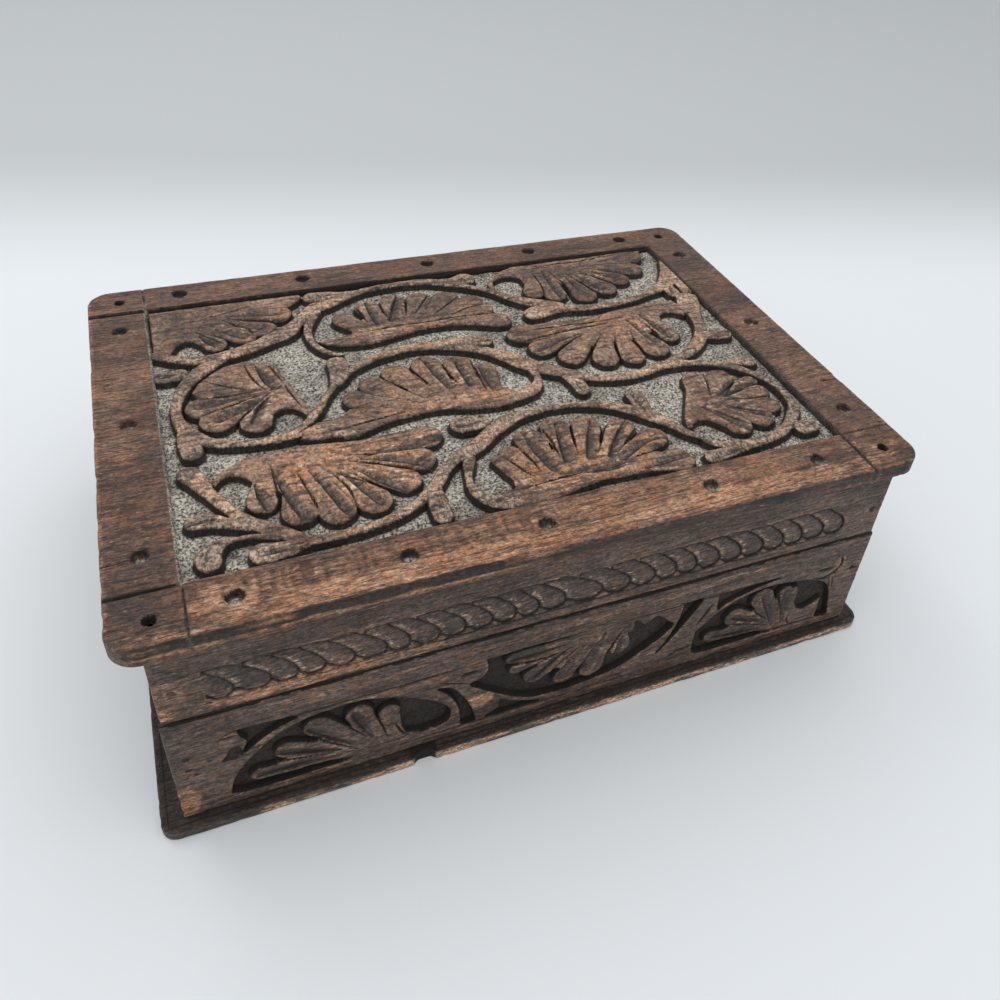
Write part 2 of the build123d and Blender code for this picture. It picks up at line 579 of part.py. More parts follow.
def corner_nail_places(front, back, right, z):
    """One nail through each end of the front and back boards into the side boards."""
    x = right - wall_thickness / 2
    places = []
    for sx in (-1, 1):
        places.append(Pos(sx * x, front + corner_nail_sunk, z) * POINTS_BACK)
        places.append(Pos(sx * x, back - corner_nail_sunk, z) * POINTS_FORWARD)
    return places


def base_nail_places():
    """Nails up through the base, in the middle of each wall."""
    half_wall = wall_thickness / 2
    x_end = wall_right - base_nail_end_inset
    y_end = wall_back - base_nail_end_inset
    places = []
    for k in range(base_nail_count_long):
        x = -x_end + 2 * x_end * k / (base_nail_count_long - 1)
        for y in (wall_front + half_wall, wall_back - half_wall):
            places.append(Pos(x, y, base_nail_sunk) * POINTS_UP)
    for k in range(base_nail_count_deep):
        y = -y_end + 2 * y_end * k / (base_nail_count_deep - 1)
        for x in (wall_left + half_wall, wall_right - half_wall):
            places.append(Pos(x, y, base_nail_sunk) * POINTS_UP)
    return places


panel_nails_at = panel_nail_places()
lid_corner_nails_at = corner_nail_places(
    rail_front, rail_back, rail_right, rail_bottom + lid_corner_nail_above_seam)
box_corner_nails_at = corner_nail_places(
    wall_front, wall_back, wall_right, rim_top - box_corner_nail_below_rim)
base_nails_at = base_nail_places()
box_screws_at = [
    Pos(centre + dx, screw_y, rim_top) * POINTS_DOWN for centre in hinge_places.values() for dx in screw_offsets]
lid_screws_at = [
    Pos(centre + dx, screw_y, rail_bottom) * POINTS_UP for centre in hinge_places.values() for dx in screw_offsets]


def nail_holes(places, length, sunk):
    hole = nail_hole_along_z(length, sunk)
    return [place * hole for place in places]


lid_nail_holes = (
    nail_holes(panel_nails_at, panel_nail_length, panel_nail_sunk)
    + nail_holes(lid_corner_nails_at, corner_nail_length, corner_nail_sunk))
box_nail_holes = (
    nail_holes(box_corner_nails_at, corner_nail_length, corner_nail_sunk)
    + nail_holes(base_nails_at, base_nail_length, base_nail_sunk))


# ---- Lid ----

def border_pits():
    """Shallow round pits in rows along the panel's four borders."""
    reach = panel_right - pit_end_inset
    pitch_x = 2 * reach / (len(back_pit_wander) - 1)
    side_reach = panel_back - pit_end_inset
    pitch_y = 2 * side_reach / (len(left_pit_wander) - 1)
    pit = Cylinder(pit_radius, 2 * pit_sunk)
    pits = []
    for k, (back_shift, front_shift) in enumerate(zip(back_pit_wander, front_pit_wander)):
        x = -reach + pitch_x * k
        pits.append(Pos(x + back_shift, panel_back - pit_back_inset, panel_top) * pit)
        pits.append(Pos(x + front_shift, panel_front + pit_front_inset, panel_top) * pit)
    for k, (left_shift, right_shift) in enumerate(zip(left_pit_wander, right_pit_wander)):
        y = -side_reach + pitch_y * k
        pits.append(Pos(panel_left + pit_side_inset, y + left_shift, panel_top) * pit)
        pits.append(Pos(panel_right - pit_side_inset, y + right_shift, panel_top) * pit)
    return pits


def v_cut(face, start, end, width, sunk):
    """A V-shaped cut into a face, between two points given on its plane."""
    turn = math.degrees(math.atan2(end[1] - start[1], end[0] - start[0]))
    section = Polyline((0, -width / 2, 0), (0, width / 2, 0), (0, 0, -sunk), close=True)
    wedge = extrude(make_face(section), amount=math.dist(start, end), dir=(1, 0, 0))
    return face.location * Pos(*start) * Rot(0, 0, turn) * wedge


def stem_outline(points):
    """The outline of a stem along (x, y, half width) points, pointed a little at its ends."""
    left, right = [], []
    for k, (x, y, half) in enumerate(points):
        before, after = points[max(k - 1, 0)], points[min(k + 1, len(points) - 1)]
        way = math.atan2(after[1] - before[1], after[0] - before[0])
        across, along = half * math.sin(way), half * math.cos(way)
        left.append((x - across, y + along))
        right.append((x + across, y - along))
    tips = []
    for last, next_to_last in ((points[-1], points[-2]), (points[0], points[1])):
        way = math.atan2(last[1] - next_to_last[1], last[0] - next_to_last[0])
        reach = stem_tip_share * last[2]
        tips.append((last[0] + reach * math.cos(way), last[1] + reach * math.sin(way)))
    return left + tips[:1] + right[::-1] + tips[1:]


def lobe_outline(root, tip):
    """A lobe that widens from its root to a rounded tip."""
    way = math.atan2(tip[1] - root[1], tip[0] - root[0])
    places = [(root, 90), (root, -90)] + [(tip, degrees) for degrees in (-90, -45, 0, 45, 90)]
    return [
        (x + half * math.cos(way + math.radians(degrees)), y + half * math.sin(way + math.radians(degrees)))
        for (x, y, half), degrees in places]


def carving_tools(face, field, stems, leaves, crest_sunk, ground_sunk):
    """What is cut away from a field to leave its stems and leaves standing, in plan on the face's plane."""
    outlines = [stem_outline(points) for points in stems]
    for leaf in leaves:
        outlines.append(leaf["blade"])
        outlines += [lobe_outline(root, tip) for root, tip in leaf["lobes"]]
    forms = [make_face(Polyline(*outline, close=True)) for outline in outlines]
    ground = field - (forms[0] + forms[1:])
    pockets = [piece for piece in ground.faces() if piece.area > smallest_ground]
    tools = [extrude(face * field, amount=-crest_sunk)]
    tools += [extrude(face * Sketch([pocket]), amount=-ground_sunk) for pocket in pockets]
    crest = face.offset(-crest_sunk)
    for leaf in leaves:
        tools += [v_cut(crest, start, end, knife_cut_width, knife_cut_sunk) for start, end in leaf["cuts"]]
    return tools


def border_grooves():
    """The marking grooves that run on past the field to the panel's edges."""
    left, right = panel_left - cut_past, panel_right + cut_past
    front, back = panel_front - cut_past, panel_back + cut_past
    runs = [
        ((field_left, front), (field_left, back)),
        ((left, field_back), (field_right, field_back)),
        ((field_right, front), (field_right, field_back)),
        ((left, field_front), (field_left, field_front)),
        ((field_right, field_front), (right, field_front)),
    ]
    return [v_cut(lid_face, start, end, border_groove_width, border_groove_sunk) for start, end in runs]


def lid_panel():
    panel = plate(panel_left, panel_right, panel_front, panel_back, rail_top, panel_top, panel_corner_radius)
    panel = fillet(edges_near(panel, z=panel_top), panel_top_round)
    panel = fillet(edges_near(panel, z=rail_top), panel_bottom_round)
    middle = Pos((field_left + field_right) / 2, (field_front + field_back) / 2)
    field = middle * Rectangle(field_right - field_left, field_back - field_front)
    panel -= carving_tools(lid_face, field, lid_stems.values(), lid_leaves.values(), relief_sunk, field_sunk)
    return panel - border_grooves() - border_pits() - lid_nail_holes


def end_rail(front, back, soft_faces):
    """A full-length lid rail between two depths, softened on the faces that show."""
    rail = block(rail_left, rail_right, front, back, rail_bottom, rail_top)
    lower = [edges_near(rail, x=x, z=rail_bottom) for x in (rail_left, rail_right)]
    lower += [edges_near(rail, x=0, y=y, z=rail_bottom) for y in soft_faces]
    return fillet([edge for group in lower for edge in group], rail_arris_round)


def side_rail(outer, inner):
    rail = block(min(outer, inner), max(outer, inner), rail_front + wall_thickness,
                 rail_back - wall_thickness, rail_bottom, rail_top)
    return fillet(edges_near(rail, x=outer, z=rail_bottom), rail_arris_round)


def scale_moulding():
    """A row of round scales, each tipped so that its right edge stands on the next one."""
    first = rail_left + scale_band_left_margin + scale_radius
    last = rail_right - scale_band_right_margin - scale_radius
    count = int((last - first) / scale_pitch) + 1
    height = rail_bottom + scale_band_above_seam
    scale = Pos(0, 0, -2 * scale_rise) * Cylinder(scale_radius, 4 * scale_rise)
    row = []
    for k in range(count):
        place = Pos(first + scale_pitch * k, rail_front + scale_band_sunk, height)
        row.append(place * Rot(90, 0, 0) * Rot(0, -scale_tilt, 0) * scale)
    return row


def lid_front_rail():
    rail = end_rail(rail_front, rail_front + wall_thickness, (rail_front,))
    band = block(rail_left + scale_band_left_margin, rail_right - scale_band_right_margin,
                 rail_front - cut_past, rail_front + scale_band_sunk,
                 rail_bottom + scale_band_above_seam - scale_radius,
                 rail_bottom + scale_band_above_seam + scale_radius)
    return (rail - band + scale_moulding()) - lid_nail_holes


def lid_back_rail():
    rail = end_rail(rail_back - wall_thickness, rail_back, ())
    return rail - leaf_mortises(rail_bottom, leaf_thickness) - lid_screw_holes - lid_nail_holes


def lid_side_rail(outer, inner):
    return side_rail(outer, inner) - lid_nail_holes


# ---- Box ----

def end_wall(front, back, soft_faces):
    """A full-length wall of the box, softened on the faces that show."""
    wall = block(wall_left, wall_right, front, back, base_thickness, rim_top)
    upper = [edges_near(wall, x=x, z=rim_top) for x in (wall_left, wall_right)]
    upper += [edges_near(wall, x=0, y=y, z=rim_top) for y in soft_faces]
    return fillet([edge for group in upper for edge in group], rail_arris_round)


def side_wall(outer, inner):
    wall = block(min(outer, inner), max(outer, inner), wall_front + wall_thickness,
                 wall_back - wall_thickness, base_thickness, rim_top)
    return fillet(edges_near(wall, x=outer, z=rim_top), rail_arris_round) - box_nail_holes


def front_board():
    wall = end_wall(wall_front, wall_front + wall_thickness, (wall_front,))
    width = wall_right - wall_left - front_panel_left_margin - front_panel_right_margin
    middle = (wall_left + front_panel_left_margin + wall_right - front_panel_right_margin) / 2
    low = base_thickness + front_panel_bottom_margin
    high = rim_top - front_panel_top_margin
    field = Pos(middle, (low + high) / 2) * RectangleRounded(width, high - low, front_panel_corner_radius)
    wall -= carving_tools(front_face, field, front_stems, front_leaves, front_relief_sunk, front_panel_sunk)
    return wall - box_nail_holes


def back_board():
    wall = end_wall(wall_back - wall_thickness, wall_back, ())
    return wall - leaf_mortises(rim_top, -leaf_thickness) - box_screw_holes - box_nail_holes


def base_board():
    base = plate(base_left, base_right, base_front, base_back, 0, base_thickness, base_corner_radius)
    base = fillet(edges_near(base, z=base_thickness), base_top_round)
    return base - box_nail_holes


# ---- Hinges ----

def knuckle_span(centre, index):
    """The two ends along X of one knuckle, counted from the left."""
    pitch = hinge_length / knuckle_count
    start = centre - hinge_length / 2 + pitch * index
    left_gap = knuckle_gap / 2 if index > 0 else 0
    right_gap = knuckle_gap / 2 if index < knuckle_count - 1 else 0
    return start + left_gap, start + pitch - right_gap


def x_cylinder(x0, x1, radius):
    return Pos((x0 + x1) / 2, pin_y, seam_middle) * Rot(0, 90, 0) * Cylinder(radius, x1 - x0)


def leaf(centre, first_knuckle, plate_low, screw_holes):
    """A hinge leaf with every other knuckle, its plate flat against the seam."""
    plate_high = plate_low + leaf_thickness
    body = block(centre - hinge_length / 2, centre + hinge_length / 2,
                 wall_back - leaf_width, wall_back, plate_low, plate_high)
    for index in range(first_knuckle, knuckle_count, 2):
        x0, x1 = knuckle_span(centre, index)
        body += block(x0, x1, wall_back - TOUCH, pin_y, plate_low, plate_high)
        body += x_cylinder(x0, x1, knuckle_radius)
    pin_room = x_cylinder(centre - hinge_length, centre + hinge_length, hinge_pin_radius + hinge_pin_clearance)
    return body - pin_room - screw_holes


def hinge_pin(centre):
    """The pin and the two small heads that keep it in the barrel."""
    half = hinge_length / 2
    pin = x_cylinder(centre - half - pin_head_height, centre + half + pin_head_height, hinge_pin_radius)
    left_head = x_cylinder(centre - half - pin_head_height, centre - half, pin_head_radius)
    right_head = x_cylinder(centre + half, centre + half + pin_head_height, pin_head_radius)
    return pin + left_head + right_head


def leaf_mortises(edge_height, depth):
    """The pockets in a board's edge that the leaves lie in."""
    half = hinge_length / 2 + mortise_clearance
    low, high = sorted((edge_height - math.copysign(cut_past, depth), edge_height + depth))
    return [
        block(centre - half, centre + half, wall_back - leaf_width - mortise_clearance,
              wall_back + cut_past, low, high)
        for centre in hinge_places.values()]


# ---- The nodes ----

def group(places, piece):
    """Several like fasteners kept together as separate solids."""
    return Compound([place * piece for place in places])


box_screw_holes = [place * screw_hole_along_z() for place in box_screws_at]
lid_screw_holes = [place * screw_hole_along_z() for place in lid_screws_at]

nodes = {
    "lid_panel": lid_panel(),
    "lid_front_rail": lid_front_rail(),
    "lid_back_rail": lid_back_rail(),
    "lid_left_rail": lid_side_rail(rail_left, rail_left + wall_thickness),
    "lid_right_rail": lid_side_rail(rail_right, rail_right - wall_thickness),
    "front_board": front_board(),
    "back_board": back_board(),
    "left_board": side_wall(wall_left, wall_left + wall_thickness),
    "right_board": side_wall(wall_right, wall_right - wall_thickness),
    "base_board": base_board(),
    "lid_panel_nails": group(panel_nails_at, nail_along_z(panel_nail_length)),
    "lid_corner_nails": group(lid_corner_nails_at, nail_along_z(corner_nail_length)),
    "box_corner_nails": group(box_corner_nails_at, nail_along_z(corner_nail_length)),
    "base_nails": group(base_nails_at, nail_along_z(base_nail_length)),
    "lid_hinge_screws": group(lid_screws_at, screw_along_z()),
    "box_hinge_screws": group(box_screws_at, screw_along_z()),
}
for name, centre in hinge_places.items():
    nodes[name + "_box_leaf"] = leaf(centre, 0, rim_top - leaf_thickness, box_screw_holes)
    nodes[name + "_lid_leaf"] = leaf(centre, 1, rail_bottom, lid_screw_holes)
    nodes[name + "_pin"] = hinge_pin(centre)

os.makedirs("parts", exist_ok=True)
for name, node in nodes.items():
    export_step(node, f"parts/{name}.step")
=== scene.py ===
"""Carved walnut keepsake box: the looks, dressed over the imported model."""

import math

import bmesh
import bpy
import numpy as np
from bpy.props import FloatProperty, FloatVectorProperty, PointerProperty
from mathutils import Matrix, Vector


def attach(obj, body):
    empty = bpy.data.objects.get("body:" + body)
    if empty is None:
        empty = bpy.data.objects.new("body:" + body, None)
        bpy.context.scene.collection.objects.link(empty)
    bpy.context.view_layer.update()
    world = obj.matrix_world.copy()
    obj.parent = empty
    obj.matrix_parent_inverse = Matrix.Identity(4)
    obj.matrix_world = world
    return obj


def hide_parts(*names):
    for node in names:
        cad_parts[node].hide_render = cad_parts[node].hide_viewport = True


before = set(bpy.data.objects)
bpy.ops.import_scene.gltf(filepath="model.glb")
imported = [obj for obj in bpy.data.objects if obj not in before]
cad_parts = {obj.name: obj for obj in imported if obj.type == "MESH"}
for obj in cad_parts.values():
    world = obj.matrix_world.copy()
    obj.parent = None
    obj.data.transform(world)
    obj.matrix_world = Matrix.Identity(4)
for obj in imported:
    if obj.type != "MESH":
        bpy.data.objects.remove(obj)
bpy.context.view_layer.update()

bl_info = {
    "name": "Carved Keepsake Box",
    "version": (1, 0, 0),
    "blender": (4, 5, 0),
    "location": "View3D > Sidebar > Keepsake Box",
    "description": "Builds a hinged wooden box with a carved lid, one operator for each piece",
    "category": "Add Mesh",
}

MM = 0.001

# ---- The boards, in millimetres from the middle of the underside: x to the right, y to the back and z up ----
LID_HALF, LID_CORNER = (125.0, 88.0), 8.0
LID_TOP, LID_UNDERSIDE = 83.0, 77.0
# The carved field as its low and high x and its low and high y, and the floor of the tray that it lies in.
FIELD, FIELD_FLOOR = (-105.5, 104.5, -69.0, 71.0), 78.0
RAIL_FACE, BOARD_FACE, BOARD_THICKNESS = -85.0, -85.5, 9.0
BASE_HALF, BASE_CORNER = (124.5, 89.0), 5.0
# Where pieces are broken out: y on the lid's right edge and x on the base's front edge.
LID_NOTCH, BASE_NOTCH = -40.5, -46.2
SCREW_LINE, SCREW_LEVELS = 81.4, (("box", 47.8, (0, 0, 1)), ("lid", 48.2, (0, 0, -1)))

# How steeply the walls of the carved forms drop, as height lost for each unit outwards.
WALL_DROP = 5.5
LID_GRID, FRONT_GRID, BORDER_GRID = 0.32, 0.36, 0.5
# The most triangles that each carved piece keeps.
FIELD_TRIANGLES, RAIL_TRIANGLES, FRONT_TRIANGLES = 384000, 90000, 130000

# ---- Layout of the carved field, in millimetres from the middle of the lid ----

# Vines: (x, y, half width) along the middle of each stem.
VINES = {
    "back_stem": [
        (-104, 40, 2.4), (-102, 38.8, 2.4), (-98.5, 36.4, 2.4), (-94, 34.1, 2.4), (-88, 33.5, 2.7), (-82, 34.2, 2.9),
        (-76, 35.8, 3.1), (-70, 38.2, 3.3), (-64.5, 41, 3.6), (-59.2, 43.6, 4), (-55, 48.4, 2.9), (-50.6, 53.4, 2.7),
        (-46, 57.6, 3.6), (-40.5, 59.6, 3), (-35, 61.9, 2.2), (-28, 65, 2), (-20, 66.6, 1.9), (-10, 67.3, 2),
        (0, 66.2, 2.4), (8, 63.2, 2.6), (14, 59.4, 2), (19, 55.6, 1.5), (24, 51.6, 2), (29, 45.6, 2.6),
        (34, 41.2, 3.2), (40, 38, 3), (46, 35, 2.4),
    ],
    "long_vine": [
        (-84, 32.6, 3), (-88.3, 29, 3.2), (-93.4, 24, 3), (-97.4, 17.5, 2.5), (-100, 9.5, 2.1), (-100.4, 2.5, 2.1),
        (-98.7, -4, 2.7), (-95, -10, 2.8), (-90.5, -13.6, 2.3), (-85, -15.5, 2), (-78, -16.4, 2), (-71, -16.7, 2.2),
        (-65, -15.2, 2.2), (-61.3, -10.6, 1.9), (-58.2, -6.7, 1.8), (-55.3, -2.1, 1.5), (-52.4, 2.7, 1.5),
        (-48.3, 8.2, 1.8), (-45, 11.3, 1.7), (-41, 14.5, 1.8), (-35.8, 17.5, 2.1), (-30, 19.7, 2.4), (-20, 21.5, 2.5),
        (-11, 20.8, 2.7), (-3, 17.6, 2.4), (3, 14.6, 2.4), (8, 11.2, 2.9), (13.4, 5.6, 3.6), (17.5, 0.2, 3.8),
        (23, -4.4, 3.4), (29, -8.6, 2.9), (35, -13, 2.3), (42, -15.7, 2.3), (50, -16.9, 2.5), (57, -16.5, 2.2),
        (64, -15.2, 2.1), (72, -15.2, 2.2), (79, -16.6, 2.1), (85.5, -19.2, 2), (91, -23, 1.9), (95.6, -28.4, 1.8),
        (98.6, -35, 1.6), (99.7, -42, 1.7), (98.8, -49.5, 2.3), (95.2, -54.2, 2.6), (90, -58.9, 2.4),
        (83.5, -62.1, 2.3), (76, -63.4, 2.3), (69, -63.4, 2.5), (63.5, -61.8, 2), (60, -59.4, 1.6), (57.8, -57.2, 1),
    ],
    "back_shell_curl": [
        (-46.2, 54.2, 1.8), (-49.6, 48.4, 2), (-51.8, 42.5, 1.9), (-52, 37, 1.7), (-51, 32, 1.6), (-48.8, 28, 1.5),
        (-46, 25, 1.3), (-43.5, 23.6, 1),
    ],
    "right_back_stem": [
        (33, 31.8, 4), (36, 32.6, 4.6), (42, 33.4, 3.9), (48, 32.4, 2.7), (54, 30.8, 2.3), (60, 30.2, 2.2),
        (67, 30.2, 2.1), (74, 31.2, 2.1), (80, 32.6, 1.8), (86, 34.6, 2), (91, 36.6, 2.8), (96.4, 40, 3.8),
        (100.6, 45, 4.2), (104, 50.4, 4.4), (107, 57, 4.4),
    ],
    "right_ring": [
        (68, -14, 1.8), (74, -12, 2), (79.5, -9.6, 2.5), (84.5, -6.2, 2.9), (88.8, -2, 3), (92, 3, 2.8),
        (94.2, 8.6, 2.7), (95.6, 14, 3.2), (96.8, 20, 4.8), (99, 26, 5),
    ],
    "left_front_stem": [
        (-98.5, -28, 3.6), (-97, -31.6, 3), (-95.6, -35, 2.4), (-92.9, -40.4, 2.2), (-89.6, -46, 2.2),
        (-86.4, -50.8, 2.4), (-82.6, -54.2, 2.7), (-78.6, -57.6, 2.6), (-74.5, -61, 2.4),
    ],
    "front_vine": [
        (-84.2, -64.4, 4.2), (-78.5, -64.6, 3.4), (-72, -63.6, 2.2), (-64, -63.8, 1.8), (-56, -63.4, 1.8),
        (-48, -61.8, 1.9), (-42, -59.4, 1.9), (-36.6, -56, 2.2), (-32, -52, 2.5), (-27.6, -46.6, 2.3),
        (-23.2, -42.6, 2.2), (-18.4, -40.4, 2.8), (-13.4, -37.6, 3.2), (-8, -33.4, 3.1), (-3, -30, 3.3),
        (2.4, -27.7, 2.8), (9, -26.8, 1.9), (16, -26.4, 1.6), (24, -27.1, 1.6), (31, -29, 1.9), (37, -31.9, 2.2),
        (43, -36, 3), (48, -41.6, 3), (51.6, -46.9, 2.2), (54.4, -51.8, 1.8), (57, -55.4, 1.2),
    ],
    "front_shell_curl": [
        (-18.6, -43.4, 2.2), (-20.2, -47.5, 2), (-21.7, -52, 1.5), (-22.2, -56.6, 1.8), (-20.6, -61, 2.4),
        (-17, -64, 3.4), (-12, -65.2, 3.8),
    ],
    "middle_shell_curl": [(18.6, -3.6, 2), (18.4, -8.4, 1.7), (17, -12.4, 2.2), (13, -15.4, 2.9), (7, -16.8, 3.3)],
}
# Buds: short strokes of the same kind with blunt ends.
BUDS = [
    [(-103, 26.5, 3.4), (-97.5, 26.5, 3.4)], [(-33, 64.6, 2.2), (-39, 65.4, 3.2), (-45.6, 65.6, 3.8)],
    [(11, 63.6, 3.4), (16, 64.6, 4.6)], [(-48.6, 8, 2.6), (-46.6, 13, 3.8), (-46.2, 19.4, 3.9)],
    [(-8, 21.2, 2.4), (0, 20.4, 3), (8.4, 18.6, 3.4)], [(-98.8, -7, 3), (-98.3, -12, 3.6), (-97.8, -16.4, 3.6)],
    [(28, -8, 2.4), (30.4, -14, 3), (31, -19.8, 3)], [(91.6, -0.6, 2.4), (96, -1.2, 3.6), (99.4, -1.4, 3.8)],
    [(90, -20, 1.8), (95, -20.2, 2.8), (98.6, -21, 3.4)], [(46, -39, 2.6), (46.8, -33.6, 3.4), (47, -28.2, 3.6)],
    [(-8, -27.6, 2.6), (-12, -27, 3.8), (-15.6, -26.6, 4.2)], [(-98.4, -28.8, 3.4), (-99.6, -26, 3.8)],
    [(-86, -53.4, 1.8), (-91, -50.4, 2.2), (-96, -47.7, 3), (-100.4, -47.2, 3.1)],
    [
        (-80, -59.2, 1.6), (-86, -57.2, 1.1), (-92, -56.9, 1.3), (-96, -58.6, 2.8), (-98.2, -61.8, 3.8),
        (-98.2, -63.4, 3.8),
    ],
    [(-33, -54, 2.6), (-33.8, -60, 3.2), (-33.9, -65.4, 3.2)], [(70, -64.2, 2.2), (63, -65, 2.6), (56.6, -65.6, 3.4)],
    [(98, 42, 2.6), (96, 37, 3), (95.6, 32, 3.2)], [(103, 42, 3), (103, 36, 3.4), (102.8, 33, 3.4)],
    [(94.6, -61.2, 3.6), (97.4, -61.2, 3.6)], [(-56, -19.4, 1.6), (-50.6, -20.6, 2.2)],
]
